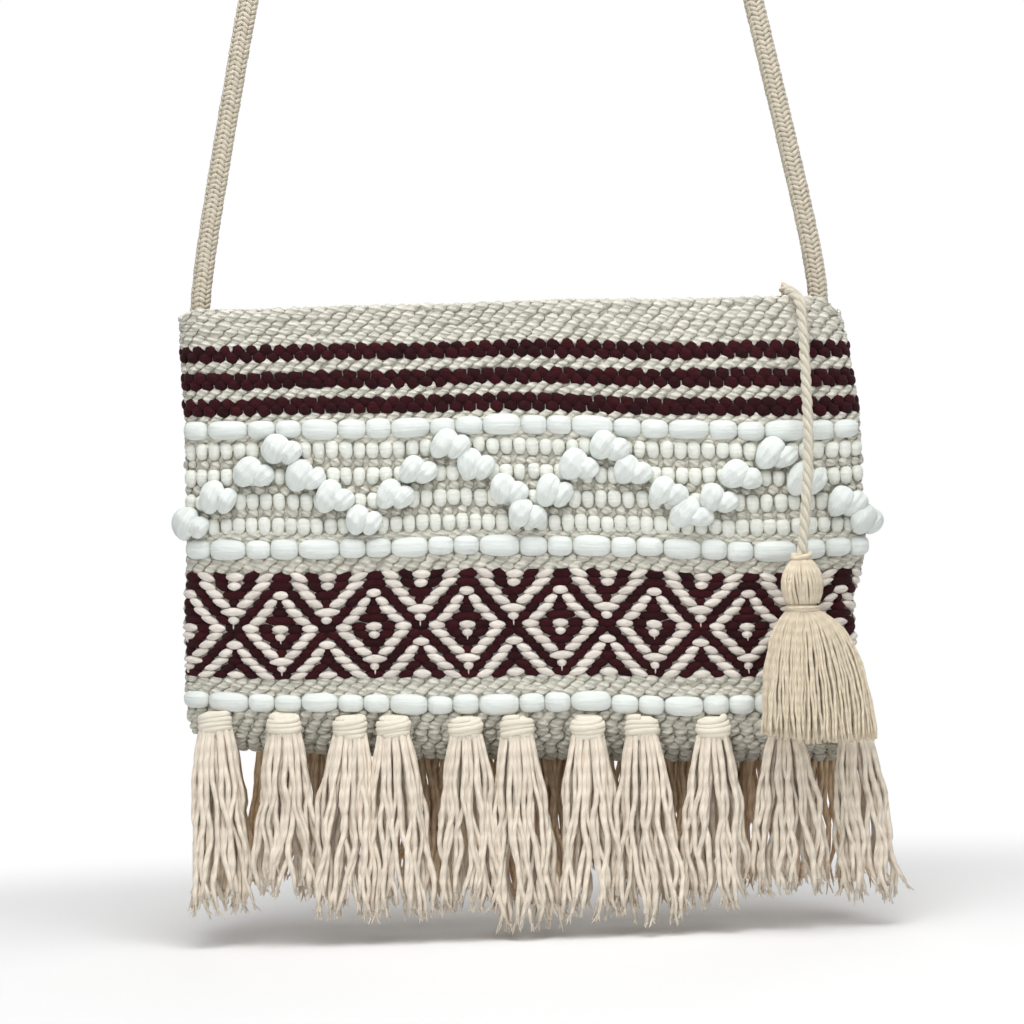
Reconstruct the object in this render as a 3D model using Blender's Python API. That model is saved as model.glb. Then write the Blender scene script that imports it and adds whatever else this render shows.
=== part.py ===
# Flat handwoven cotton shoulder pouch with pulled-loop weave, fringe tassels and a rope strap.
# Metres, +Z up. The origin is where the strap hangs, and the pouch's front faces -Y.
# Heights on the cloth are given as "down", the distance below the pouch's rim.

import math

import bmesh
import bpy
from mathutils import Vector

# Pouch
STRAP_DROP = 0.300
POUCH_WIDTH = 0.277
POUCH_HEIGHT = 0.188
POUCH_DEPTH = 0.032
RIM_WIDTH = 0.272
RIM_DEPTH = 0.0216
CLOTH_WALL = 0.003
RIM_LIP = 0.0008
FULLEST_DOWN = 0.115
FOLD_HEIGHT = 0.028
CORNER_HEIGHT = 0.024
CORNER_WIDTH = 0.012
SHELL_END = 0.0006
SQUARENESS = 5.0
RIM_SQUARENESS = 12.0
RIM_BLEND = 0.050
RIB_PITCH = 0.0134
RIB_DEPTH = 0.0007
FLOOR_SEAM = 0.012
LINING_WALL = 0.0008
LINING_TOP = 0.0140
LINING_GAP = 0.0006

# Running gap between pieces that touch, and the step over which a slope of the cloth is read
GAP = 0.0003
SLOPE_STEP = 0.0004

# Woven rows, by their distance below the rim
STRIPE_DOWNS = (0.0197, 0.0312, 0.0420)
STRIPE_HEIGHT = 0.0070
STRIPE_THICKNESS = 0.0014
STRIPE_GROOVE = 0.55
ROVING_DOWNS = (0.0517, 0.1007, 0.1640)
ROVING_HEIGHT = 0.0080
ROVING_THICKNESS = 0.0048
LONG_BEAD = 0.0161
SHORT_BEAD = 0.0108
PIP_DOWNS = (0.0611, 0.0712, 0.0813, 0.0914)
PIP_HEIGHT = 0.0062
PIP_THICKNESS = 0.0030
PIP_PITCH = 0.0054
LOOP_PITCH = 0.0112
LOOP_COUNT = 25
LOOP_WIDTH = 0.0150
LOOP_HEIGHT = 0.0096
LOOP_THICKNESS = 0.0088
NECK_SHARE = 0.55

# Diamond band
BAND_DOWN = 0.1316
BAND_HEIGHT = 0.0435
BAND_MARGIN = 0.00445
BAND_PERIODS = 7
BAND_BACKING = 0.0006
BAND_RELIEF = 0.0007
BAND_LEVELS = (0.17, 0.45, 0.68, 1.06, 1.27, 1.55)

# Fringe
FRINGE_COUNT = 11
FRINGE_END = 0.0115
FRINGE_DOWN = 0.1740
FRINGE_LENGTH = 0.0710
FRINGE_SWAY = (0.0005, 0.0036, 0.0053, -0.0023, 0.0018, -0.0025, 0.0010, -0.0022, 0.0015, 0.0040, 0.0005)
WRAP_WIDTH = 0.0142
WRAP_DEPTH = 0.0094
WRAP_HEIGHT = 0.0100
WRAP_WALL = 0.0022
WRAP_SHOULDER = 0.0020
SKIRT_WIDTH = 0.0205
SKIRT_DEPTH = 0.0120
BUNDLE_ROUNDING = 0.0015
BUNDLE_FLARE = 0.0045

# Zip
CHAIN_DOWN = 0.0058
ZIP_MARGIN = 0.0155
STOP_LENGTH = 0.0020
CHAIN_HALF_GAP = 0.00075
CHAIN_WIDTH = 0.0026
CHAIN_HEIGHT = 0.0022
TOOTH_PITCH = 0.0088
TOOTH_DEPTH = 0.0012
TAPE_THICKNESS = 0.0008
TAPE_FLANGE = 0.0070
SLIDER_LENGTH = 0.0088
SLIDER_WIDTH = 0.0088
SLIDER_PLATE = 0.0011
SLIDER_POST = 0.0009
BRIDGE_LENGTH = 0.0064
BRIDGE_WIDTH = 0.0024
BRIDGE_HEIGHT = 0.0032
BRIDGE_WALL = 0.0010
BRIDGE_ROOT = 0.0003
PIVOT_CLEARANCE = 0.0005
RING_WIDTH = 0.0070
RING_HEIGHT = 0.0080
RING_BAR = 0.0012
RING_ARM = 0.0017
RING_THICKNESS = 0.0011
RING_CORNER = 0.0018
RING_HOLE_CORNER = 0.0008

# Tassel on the zip's pull: its place is x from the slider's middle, y, and down
TASSEL_PLACE = (0.0025, -0.0352, 0.1046)
TASSEL_HEAD_WIDTH = 0.0172
TASSEL_HEAD_HEIGHT = 0.0185
TASSEL_NECK = 0.0116
TASSEL_WRAP_WIDTH = 0.0146
TASSEL_WRAP_HEIGHT = 0.0042
TASSEL_LENGTH = 0.0765
TASSEL_SKIRT_WIDTH = 0.0460
TASSEL_SKIRT_DEPTH = 0.0200
TASSEL_LEAN = 0.0045

# Strap and tassel cord
STRAP_DIAMETER = 0.0085
STRAP_MARGIN = 0.00975
CORD_DIAMETER = 0.0045

# The strap's right half, as x and height above the rim, from its sewn end up to the hanging point
STRAP_ROUTE = (
    (0.12625, -0.0220),
    (0.12630, -0.0080),
    (0.12600, 0.0060),
    (0.12250, 0.0300),
    (0.11650, 0.0620),
    (0.11000, 0.0950),
    (0.10380, 0.1260),
    (0.09450, 0.1650),
    (0.08000, 0.2010),
    (0.06000, 0.2360),
    (0.04050, 0.2610),
    (0.02500, 0.2810),
    (0.01250, 0.2972),
)

# The tassel cord, from the pull's ring over the rim and down in front, as x from the slider's middle,
# y and height above the rim
CORD_ROUTE = (
    (0.0000, -0.0039, 0.0042),
    (0.0000, -0.0075, 0.0050),
    (0.0002, -0.0118, 0.0044),
    (0.0005, -0.0153, 0.0005),
    (0.0009, -0.0174, -0.0080),
    (0.0014, -0.0212, -0.0280),
    (0.0019, -0.0272, -0.0560),
    (0.0023, -0.0322, -0.0800),
    (0.0025, -0.0350, -0.1043),
)

FRONT = -1
BACK = 1
SECTION_SHARES = (0.0, 0.25, 0.48, 0.68, 0.84, 0.95, 0.985)
ROW_SHARE = 0.972

COTTON = ("natural cotton weave", (0.66, 0.63, 0.55), 0.95)
ROVING = ("white cotton roving", (0.82, 0.83, 0.80), 0.95)
MAROON = ("maroon cotton", (0.048, 0.009, 0.012), 0.9)
FRINGE = ("cotton fringe", (0.70, 0.64, 0.54), 0.95)
TASSEL = ("zip tassel yarn", (0.58, 0.51, 0.39), 0.95)
ROPE = ("braided rope", (0.60, 0.56, 0.47), 0.9)
LINING = ("lining cloth", (0.62, 0.57, 0.47), 0.9)
ZIP_TAPE = ("zip tape", (0.50, 0.45, 0.36), 0.85)
ZIP_METAL = ("antique brass", (0.42, 0.31, 0.15), 0.35)


def clear_scene():
    for scene_object in list(bpy.data.objects):
        bpy.data.objects.remove(scene_object, do_unlink=True)


def material(finish):
    name, colour, roughness = finish
    found = bpy.data.materials.get(name)
    if found:
        return found
    made = bpy.data.materials.new(name)
    made.use_nodes = True
    shader = made.node_tree.nodes["Principled BSDF"]
    shader.inputs["Base Color"].default_value = (*colour, 1.0)
    shader.inputs["Roughness"].default_value = roughness
    shader.inputs["Metallic"].default_value = 1.0 if finish is ZIP_METAL else 0.0
    return made


def add_empty(name, place, parent=None):
    empty = bpy.data.objects.new(name, None)
    bpy.context.collection.objects.link(empty)
    empty.empty_display_size = 0.01
    empty.parent = parent
    empty.location = Vector(place) - (parent.matrix_world.translation if parent else Vector())
    bpy.context.view_layer.update()
    return empty


def add_piece(name, shape, finish, parent, place=(0.0, 0.0, 0.0)):
    # The shape is in its own frame, whose origin stands at place
    bmesh.ops.recalc_face_normals(shape, faces=shape.faces)
    if shape.calc_volume(signed=True) < 0:
        bmesh.ops.reverse_faces(shape, faces=shape.faces)
    mesh = bpy.data.meshes.new(name)
    shape.to_mesh(mesh)
    shape.free()
    mesh.materials.append(material(finish))
    piece = bpy.data.objects.new(name, mesh)
    bpy.context.collection.objects.link(piece)
    piece.parent = parent
    piece.location = Vector(place) - parent.matrix_world.translation
    return piece


def smooth(piece, angle=40.0):
    piece.data.shade_smooth()
    piece.data.set_sharp_from_angle(angle=math.radians(angle))


def loft(rings):
    # Closed solid through rings of equal point counts, with both ends filled
    shape = bmesh.new()
    loops = [[shape.verts.new(point) for point in ring] for ring in rings]
    for near, far in zip(loops, loops[1:]):
        for index in range(len(near)):
            following = (index + 1) % len(near)
            shape.faces.new((near[index], near[following], far[following], far[index]))
    shape.faces.new(loops[0])
    shape.faces.new(loops[-1])
    return shape


def box(low, high):
    shape = bmesh.new()
    bmesh.ops.create_cube(shape, size=1.0)
    for vertex in shape.verts:
        for axis in range(3):
            vertex.co[axis] = high[axis] if vertex.co[axis] > 0 else low[axis]
    return shape


def half_width(down):
    share = min(1.0, max(0.0, down / POUCH_HEIGHT))
    width = POUCH_WIDTH / 2 - (POUCH_WIDTH - RIM_WIDTH) / 2 * (1 - share) ** 2
    corner = min(1.0, max(0.0, (down - POUCH_HEIGHT + CORNER_HEIGHT) / CORNER_HEIGHT))
    return width - CORNER_WIDTH * (1 - math.sqrt(1 - corner ** 2))


def half_depth(down):
    swell = math.sin(math.pi / 2 * min(1.0, max(0.0, down / FULLEST_DOWN)))
    depth = RIM_DEPTH / 2 + (POUCH_DEPTH - RIM_DEPTH) / 2 * swell
    fold = min(1.0, max(0.0, (down - POUCH_HEIGHT + FOLD_HEIGHT) / FOLD_HEIGHT))
    return depth * math.sqrt(1 - fold ** 2)


def squareness(down):
    return SQUARENESS + (RIM_SQUARENESS - SQUARENESS) * min(1.0, max(0.0, 1 - down / RIM_BLEND))


def cloth_depth(x, down, inset=0.0):
    # Distance from the pouch's middle plane out to the cloth
    reach = min(1.0, abs(x) / (half_width(down) - inset))
    return (half_depth(down) - inset) * math.sqrt(1 - reach ** squareness(down))


def on_cloth(x, down, lift, face=FRONT):
    # Point that stands off the cloth's outer surface by lift
    limit = half_width(down) * SECTION_SHARES[-1] - SLOPE_STEP
    inside = min(limit, max(-limit, x))
    rise_x = cloth_depth(inside + SLOPE_STEP, down) - cloth_depth(inside - SLOPE_STEP, down)
    rise_down = cloth_depth(inside, down + SLOPE_STEP) - cloth_depth(inside, down - SLOPE_STEP)
    slope_x = rise_x / (2 * SLOPE_STEP)
    slope_down = rise_down / (2 * SLOPE_STEP)
    outward = Vector((-slope_x, face, slope_down)).normalized()
    surface = Vector((inside, face * cloth_depth(inside, down), -STRAP_DROP - down))
    return surface + outward * lift


def cloth_ring(down, inset):
    # One level of the pouch, round the front, the right seam, the back and the left seam
    width = half_width(down) - inset
    shares = [-share for share in reversed(SECTION_SHARES[1:])] + list(SECTION_SHARES)
    front = [(share * width, FRONT) for share in shares]
    back = [(share * width, BACK) for share in reversed(shares)]
    z = -STRAP_DROP - down
    ring = [Vector((-width, 0.0, z))]
    ring += [Vector((x, face * cloth_depth(x, down, inset), z)) for x, face in front]
    ring.append(Vector((width, 0.0, z)))
    ring += [Vector((x, face * cloth_depth(x, down, inset), z)) for x, face in back]
    return ring


def pouch_wall(outer_levels, outer_insets, inner_levels, inner_inset, lip):
    # A closed-bottomed bag: down the outside, back up the inside
    rings = [cloth_ring(down, inset) for down, inset in zip(reversed(outer_levels), reversed(outer_insets))]
    if lip:
        middle = (outer_insets[0] + inner_inset) / 2
        raised = cloth_ring(outer_levels[0], middle)
        rings.append([point + Vector((0, 0, lip)) for point in raised])
    rings += [cloth_ring(down, inner_inset) for down in inner_levels]
    return loft(rings)


def levels_between(start, end, count):
    return [start + (end - start) * index / (count - 1) for index in range(count)]


def hollow_levels():
    # The hollow's levels, shared by the cloth's inside and the lining: closer together at the fold
    floor = POUCH_HEIGHT - FLOOR_SEAM
    bend = POUCH_HEIGHT - FOLD_HEIGHT
    return levels_between(LINING_TOP, bend, 4) + levels_between(bend, floor, 4)[1:]


def build_shell(parent):
    last = POUCH_HEIGHT - SHELL_END
    count = 2 * round(last / RIB_PITCH) + 1
    outer = levels_between(0.0, last, count)
    insets = [RIB_DEPTH if index % 2 else 0.0 for index in range(count)]
    inner = [0.0, CHAIN_DOWN] + hollow_levels()
    shape = pouch_wall(outer, insets, inner, CLOTH_WALL, RIM_LIP)
    smooth(add_piece("woven_shell", shape, COTTON, parent), 60)


def build_lining(parent):
    outside = CLOTH_WALL + LINING_GAP
    levels = hollow_levels()
    outer = levels[:-1] + [levels[-1] - LINING_GAP]
    inner = levels[:-1] + [levels[-1] - LINING_GAP - LINING_WALL]
    shape = pouch_wall(outer, [outside] * len(outer), inner, outside + LINING_WALL, 0.0)
    smooth(add_piece("lining", shape, LINING, parent), 60)


def row_piece(name, stations, down, finish, parent):
    # Yarn laid across the front: each station gives x, height, thickness and where the section bulges
    rings = []
    for x, height, thickness in stations:
        section = (
            (0.0, GAP),
            (-0.50 * height, GAP + 0.38 * thickness),
            (-0.27 * height, GAP + thickness),
            (0.27 * height, GAP + thickness),
            (0.50 * height, GAP + 0.38 * thickness),
        )
        rings.append([on_cloth(x, down + along, lift) for along, lift in section])
    smooth(add_piece(name, loft(rings), finish, parent), 60)


def row_reach(down):
    return half_width(down) * ROW_SHARE


def roving_stations(down):
    # Slubs in the order short, long, short, pinched where a warp thread crosses the roving
    reach = row_reach(down)
    beads = (SHORT_BEAD, LONG_BEAD, SHORT_BEAD)
    pinched = (NECK_SHARE * ROVING_HEIGHT, NECK_SHARE * ROVING_THICKNESS)
    full = (ROVING_HEIGHT, ROVING_THICKNESS)
    stations = []
    x = -reach
    index = 0
    while x + SHORT_BEAD / 2 < reach:
        bead = min(beads[index % len(beads)], reach - x)
        stations.append((x, *pinched))
        stations.append((x + 0.2 * bead, *full))
        stations.append((x + 0.8 * bead, *full))
        x += bead
        index += 1
    stations.append((x, *pinched))
    return stations


def loop_places(row):
    # The pulled loops zigzag over the four rows: bottom, up to the top row and down again
    turn = 2 * (len(PIP_DOWNS) - 1)
    places = []
    for index in range(LOOP_COUNT):
        step = index % turn
        level = len(PIP_DOWNS) - 1 - step if step < len(PIP_DOWNS) else step - len(PIP_DOWNS) + 1
        if level == row:
            places.append((index - (LOOP_COUNT - 1) / 2) * LOOP_PITCH)
    return places


def pip_stations(row, down):
    reach = row_reach(down)
    half_loop = LOOP_WIDTH / 2
    places = [min(reach - half_loop, max(half_loop - reach, place)) for place in loop_places(row)]
    stations = []
    count = round(2 * reach / PIP_PITCH)
    pitch = 2 * reach / count
    for index in range(2 * count + 1):
        x = -reach + index * pitch / 2
        if any(abs(x - place) < half_loop + pitch / 4 for place in places):
            continue
        share = 1.0 if index % 2 else NECK_SHARE
        stations.append((x, share * PIP_HEIGHT, share * PIP_THICKNESS))
    for place in places:
        for along, share in ((-1.0, 0.40), (-0.62, 0.92), (-0.10, 0.76), (0.50, 1.0), (1.0, 0.40)):
            stations.append((place + along * half_loop, share * LOOP_HEIGHT, share * LOOP_THICKNESS))
    return sorted(stations)


def build_rows(parent):
    for number, down in enumerate(STRIPE_DOWNS, 1):
        xs = [share * half_width(down) for share in (*SECTION_SHARES[:-1], ROW_SHARE)]
        rings = []
        for x in [-x for x in reversed(xs[1:])] + xs:
            section = (
                (-0.50, GAP),
                (-0.25, GAP + STRIPE_THICKNESS),
                (0.0, GAP + STRIPE_GROOVE * STRIPE_THICKNESS),
                (0.25, GAP + STRIPE_THICKNESS),
                (0.50, GAP),
            )
            rings.append([on_cloth(x, down + share * STRIPE_HEIGHT, lift) for share, lift in section])
        smooth(add_piece(f"maroon_stripe_{number}", loft(rings), MAROON, parent), 60)
    for number, down in enumerate(ROVING_DOWNS, 1):
        row_piece(f"roving_row_{number}", roving_stations(down), down, ROVING, parent)
    for number, down in enumerate(PIP_DOWNS, 1):
        row_piece(f"loop_row_{number}", pip_stations(number - 1, down), down, ROVING, parent)


def band_strips():
    # One quarter of a diamond, cut into strips by lines at even distances from its middle.
    # Corners are shares of the cell: along the row, then away from the band's middle.
    def line(level):
        if level <= 1.0:
            return (0.0, level), (level, 0.0)
        return (level - 1.0, 1.0), (1.0, level - 1.0)

    strips = []
    levels = (0.0, *BAND_LEVELS, 2.0)
    for inner, outer in zip(levels, levels[1:]):
        first, last = line(inner)
        following, preceding = line(outer)
        outline = [first, following, preceding, last]
        if inner <= 1.0 < outer:
            outline = [first, (0.0, 1.0), following, preceding, (1.0, 0.0), last]
        strips.append(outline)
    return strips


def build_diamond_band(parent):
    # Laid out flat as x, down and lift, raised where the yarn is maroon, then wrapped onto the cloth
    shape = bmesh.new()
    half_period = (POUCH_WIDTH / 2 - BAND_MARGIN) / BAND_PERIODS
    half_height = BAND_HEIGHT / 2
    corners = {}

    def corner(column, away):
        key = (round(1000 * column), round(1000 * away))
        if key not in corners:
            place = (column * half_period, BAND_DOWN + away * half_height, GAP)
            corners[key] = shape.verts.new(place)
        return corners[key]

    backs = []
    maroon = []
    for column in range(-BAND_PERIODS, BAND_PERIODS):
        middle_on_left = column % 2 != 0
        for up in (-1, 1):
            for order, outline in enumerate(band_strips()):
                points = []
                for along, away in outline:
                    vertex = corner(column + (along if middle_on_left else 1 - along), up * away)
                    if vertex not in points:
                        points.append(vertex)
                backs.append(shape.faces.new(points))
                maroon.append(order % 2 == 1)
    rim = [edge for edge in shape.edges if edge.is_boundary]
    fronts = {}
    for vertex in list(shape.verts):
        fronts[vertex] = shape.verts.new((vertex.co.x, vertex.co.y, GAP + BAND_BACKING))
    for edge in rim:
        near, far = edge.verts
        shape.faces.new((near, far, fronts[far], fronts[near]))
    cream_and_maroon = [shape.faces.new([fronts[vertex] for vertex in face.verts]) for face in backs]
    lifted = [face for face, is_maroon in zip(cream_and_maroon, maroon) if is_maroon]
    grown = bmesh.ops.extrude_face_region(shape, geom=lifted)["geom"]
    for part in grown:
        if isinstance(part, bmesh.types.BMVert):
            part.co.z += BAND_RELIEF
    bmesh.ops.delete(shape, geom=lifted, context="FACES")
    # Folds at the same places as the cloth's own facets, so that the band lies against them
    for share in SECTION_SHARES[3:-1]:
        for side in (-1, 1):
            everything = shape.verts[:] + shape.edges[:] + shape.faces[:]
            fold = (side * share * half_width(BAND_DOWN), 0.0, 0.0)
            bmesh.ops.bisect_plane(shape, geom=everything, plane_co=fold, plane_no=(1.0, 0.0, 0.0))
    for vertex in shape.verts:
        x, down, lift = vertex.co
        vertex.co = on_cloth(x, down, lift)
    add_piece("diamond_band", shape, MAROON, parent)


def oval_ring(width, depth, z, sides, ridge=0.0, shift=0.0):
    ring = []
    for index in range(sides):
        angle = 2 * math.pi * (index + 0.5) / sides
        half = 0.5 - (ridge / 2 if index % 2 else 0.0)
        ring.append(Vector((shift + width * half * math.cos(angle), depth * half * math.sin(angle), z)))
    return ring


def tube_band(width, depth, height, wall, sides):
    # A short oval sleeve, standing from z = -height / 2 to height / 2
    shape = bmesh.new()
    loops = []
    for inset, z in ((0.0, -0.5), (0.0, 0.5), (wall, 0.5), (wall, -0.5)):
        ring = oval_ring(width - 2 * inset, depth - 2 * inset, z * height, sides)
        loops.append([shape.verts.new(point) for point in ring])
    for near, far in zip(loops, loops[1:] + loops[:1]):
        for index in range(sides):
            following = (index + 1) % sides
            shape.faces.new((near[index], near[following], far[following], far[index]))
    return shape


def fringe_bundle(length, drift, sides, ridge):
    # Strands folded over, held at the neck and flaring below it
    neck_width = WRAP_WIDTH - 2 * WRAP_WALL - 2 * GAP
    neck_depth = WRAP_DEPTH - 2 * WRAP_WALL - 2 * GAP
    half = WRAP_HEIGHT / 2
    rings = [
        oval_ring(0.55 * neck_width, 0.55 * neck_depth, half, sides),
        oval_ring(neck_width, neck_depth, half - BUNDLE_ROUNDING, sides),
        oval_ring(neck_width, neck_depth, -half, sides),
        oval_ring(WRAP_WIDTH, WRAP_DEPTH, -half - BUNDLE_FLARE, sides, ridge, 0.1 * drift),
        oval_ring(0.82 * SKIRT_WIDTH, 0.90 * SKIRT_DEPTH, -half - 0.5 * length, sides, ridge, 0.5 * drift),
        oval_ring(SKIRT_WIDTH, SKIRT_DEPTH, -half - length, sides, ridge, drift),
    ]
    return loft(rings)


def back_bundle(length, drift, sides):
    # The back row's tassels carry their wrap as a swelling
    half = WRAP_HEIGHT / 2
    rings = [
        oval_ring(0.8 * WRAP_WIDTH, 0.8 * WRAP_DEPTH, half, sides),
        oval_ring(WRAP_WIDTH, WRAP_DEPTH, half - WRAP_SHOULDER, sides),
        oval_ring(WRAP_WIDTH, WRAP_DEPTH, -half, sides),
        oval_ring(0.8 * SKIRT_WIDTH, 0.9 * SKIRT_DEPTH, -half - 0.5 * length, sides, 0.0, 0.5 * drift),
        oval_ring(SKIRT_WIDTH, SKIRT_DEPTH, -half - length, sides, 0.0, drift),
    ]
    return loft(rings)


def build_fringe(parent):
    stand_off = WRAP_DEPTH / 2 + GAP
    pitch = (POUCH_WIDTH - 2 * FRINGE_END) / (FRINGE_COUNT - 1)
    for index in range(FRINGE_COUNT):
        middle = (index - (FRINGE_COUNT - 1) / 2) * pitch
        length = FRINGE_LENGTH * (1 + 0.05 * math.sin(2.4 * index + 0.6))
        x = middle + FRINGE_SWAY[index]
        y = cloth_depth(x, FRINGE_DOWN - WRAP_HEIGHT / 2) + stand_off
        z = -STRAP_DROP - FRINGE_DOWN
        drift = -0.6 * FRINGE_SWAY[index]
        name = f"{index + 1:02d}"
        bundle = fringe_bundle(length, drift, 8, 0.16)
        smooth(add_piece(f"fringe_front_{name}", bundle, FRINGE, parent, (x, -y, z)), 50)
        wrap = tube_band(WRAP_WIDTH, WRAP_DEPTH, WRAP_HEIGHT, WRAP_WALL, 8)
        smooth(add_piece(f"fringe_wrap_{name}", wrap, ROVING, parent, (x, -y, z)), 50)
        back_x = middle - FRINGE_SWAY[index] / 2
        back_y = cloth_depth(back_x, FRINGE_DOWN - WRAP_HEIGHT / 2 + WRAP_SHOULDER) + WRAP_DEPTH / 2
        bundle = back_bundle(0.93 * length, 0.0, 6)
        smooth(add_piece(f"fringe_back_{name}", bundle, FRINGE, parent, (back_x, back_y, z)), 50)


def chain_height():
    return -STRAP_DROP - CHAIN_DOWN


def tape_reach():
    return RIM_WIDTH / 2 - ZIP_MARGIN


def chain_reach():
    # The teeth end before the stops, and the slider stands at the right end of the teeth
    return tape_reach() - STOP_LENGTH - GAP


def slider_x():
    return chain_reach() - GAP - SLIDER_LENGTH / 2


def build_zip_tape(name, face, parent):
    # An angle of tape: level beside the teeth, turned down along the inside of the cloth
    level = chain_height()
    inner = CHAIN_HALF_GAP + CHAIN_WIDTH + GAP
    rings = []
    xs = [share * half_width(0.0) for share in SECTION_SHARES[:-2]] + [tape_reach()]
    for x in [-x for x in reversed(xs[1:])] + xs:
        outer = cloth_depth(x, 0.0, CLOTH_WALL + LINING_GAP)
        half = TAPE_THICKNESS / 2
        section = (
            (inner, level + half),
            (outer, level + half),
            (outer, level - TAPE_FLANGE),
            (outer - TAPE_THICKNESS, level - TAPE_FLANGE),
            (outer - TAPE_THICKNESS, level - half),
            (inner, level - half),
        )
        rings.append([Vector((x, face * y, z)) for y, z in section])
    add_piece(name, loft(rings), ZIP_TAPE, parent)


def build_zip_teeth(name, face, parent):
    # A comb whose teeth stop short of the middle, where the slider's post runs
    reach = chain_reach()
    count = round(2 * reach / TOOTH_PITCH)
    pitch = 2 * reach / count
    root = CHAIN_HALF_GAP + TOOTH_DEPTH
    outline = [(-reach, CHAIN_HALF_GAP + CHAIN_WIDTH), (-reach, root)]
    for index in range(count):
        start = -reach + index * pitch
        outline += [
            (start + 0.25 * pitch, root),
            (start + 0.25 * pitch, CHAIN_HALF_GAP),
            (start + 0.75 * pitch, CHAIN_HALF_GAP),
            (start + 0.75 * pitch, root),
        ]
    outline += [(reach, root), (reach, CHAIN_HALF_GAP + CHAIN_WIDTH)]
    low = chain_height() - CHAIN_HEIGHT / 2
    high = chain_height() + CHAIN_HEIGHT / 2
    rings = [[Vector((x, face * y, z)) for x, y in outline] for z in (low, high)]
    add_piece(name, loft(rings), ZIP_METAL, parent)


def build_zip_stop(name, side, parent):
    # A clamped metal stop across both rows of teeth
    half = CHAIN_HALF_GAP + CHAIN_WIDTH
    near = chain_reach() + GAP
    far = tape_reach()
    low = (min(side * near, side * far), -half, chain_height() - CHAIN_HEIGHT / 2)
    high = (max(side * near, side * far), half, chain_height() + CHAIN_HEIGHT / 2)
    add_piece(name, box(low, high), ZIP_METAL, parent)


def pivot_height():
    return chain_height() + CHAIN_HEIGHT / 2 + GAP + SLIDER_PLATE + RING_BAR / 2 + PIVOT_CLEARANCE


def build_slider(parent, place):
    # Two plates above and below the teeth, joined by the post, in the frame of the pull's axis
    middle = chain_height() - place[2]
    inner = CHAIN_HEIGHT / 2 + GAP
    outer = inner + SLIDER_PLATE
    half = SLIDER_WIDTH / 2
    post = SLIDER_POST / 2
    profile = (
        (-half, outer), (half, outer), (half, inner), (post, inner), (post, -inner), (half, -inner),
        (half, -outer), (-half, -outer), (-half, -inner), (-post, -inner), (-post, inner), (-half, inner),
    )
    rings = []
    for x, squeeze in ((-0.5, 0.70), (-0.15, 1.0), (0.30, 1.0), (0.5, 0.84)):
        ring = []
        for y, z in profile:
            narrowed = y * squeeze if abs(y) > post else y
            ring.append(Vector((x * SLIDER_LENGTH, narrowed, middle + z)))
        rings.append(ring)
    slider = add_piece("zip_slider", loft(rings), ZIP_METAL, parent, place)
    foot = middle + outer - BRIDGE_ROOT
    top = foot + BRIDGE_HEIGHT
    outside = BRIDGE_LENGTH / 2
    inside = outside - BRIDGE_WALL
    arch = (
        (-outside, foot), (-outside, top), (outside, top), (outside, foot),
        (inside, foot), (inside, top - BRIDGE_WALL), (-inside, top - BRIDGE_WALL), (-inside, foot),
    )
    rings = [[Vector((x, y * BRIDGE_WIDTH, z)) for x, z in arch] for y in (-0.5, 0.5)]
    bridge = add_piece("slider_bridge_guide", loft(rings), ZIP_METAL, parent, place)
    bridge.hide_render = True
    bridge.display_type = "WIRE"
    union = slider.modifiers.new("bridge", "BOOLEAN")
    union.operation = "UNION"
    union.object = bridge


def build_pull_ring(parent, place):
    # An upright link whose lower bar runs under the slider's bridge
    half = RING_WIDTH / 2
    inner = half - RING_ARM
    low = -RING_BAR / 2
    high = low + RING_HEIGHT
    shape = bmesh.new()
    loops = []
    for x in (-RING_THICKNESS / 2, RING_THICKNESS / 2):
        pair = []
        for side, foot, top, corner in (
            (half, low, high, RING_CORNER),
            (inner, low + RING_BAR, high - RING_BAR, RING_HOLE_CORNER),
        ):
            outline = ((-side, foot), (side, foot), (side, top - corner), (side - corner, top),
                       (corner - side, top), (-side, top - corner))
            pair.append([shape.verts.new((x, y, z)) for y, z in outline])
        loops.append(pair)
    count = len(loops[0][0])
    for index in range(count):
        following = (index + 1) % count
        for side in loops:
            shape.faces.new((side[0][index], side[0][following], side[1][following], side[1][index]))
        for order in (0, 1):
            shape.faces.new((loops[0][order][index], loops[0][order][following],
                             loops[1][order][following], loops[1][order][index]))
    add_piece("pull_ring", shape, ZIP_METAL, parent, place)


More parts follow.
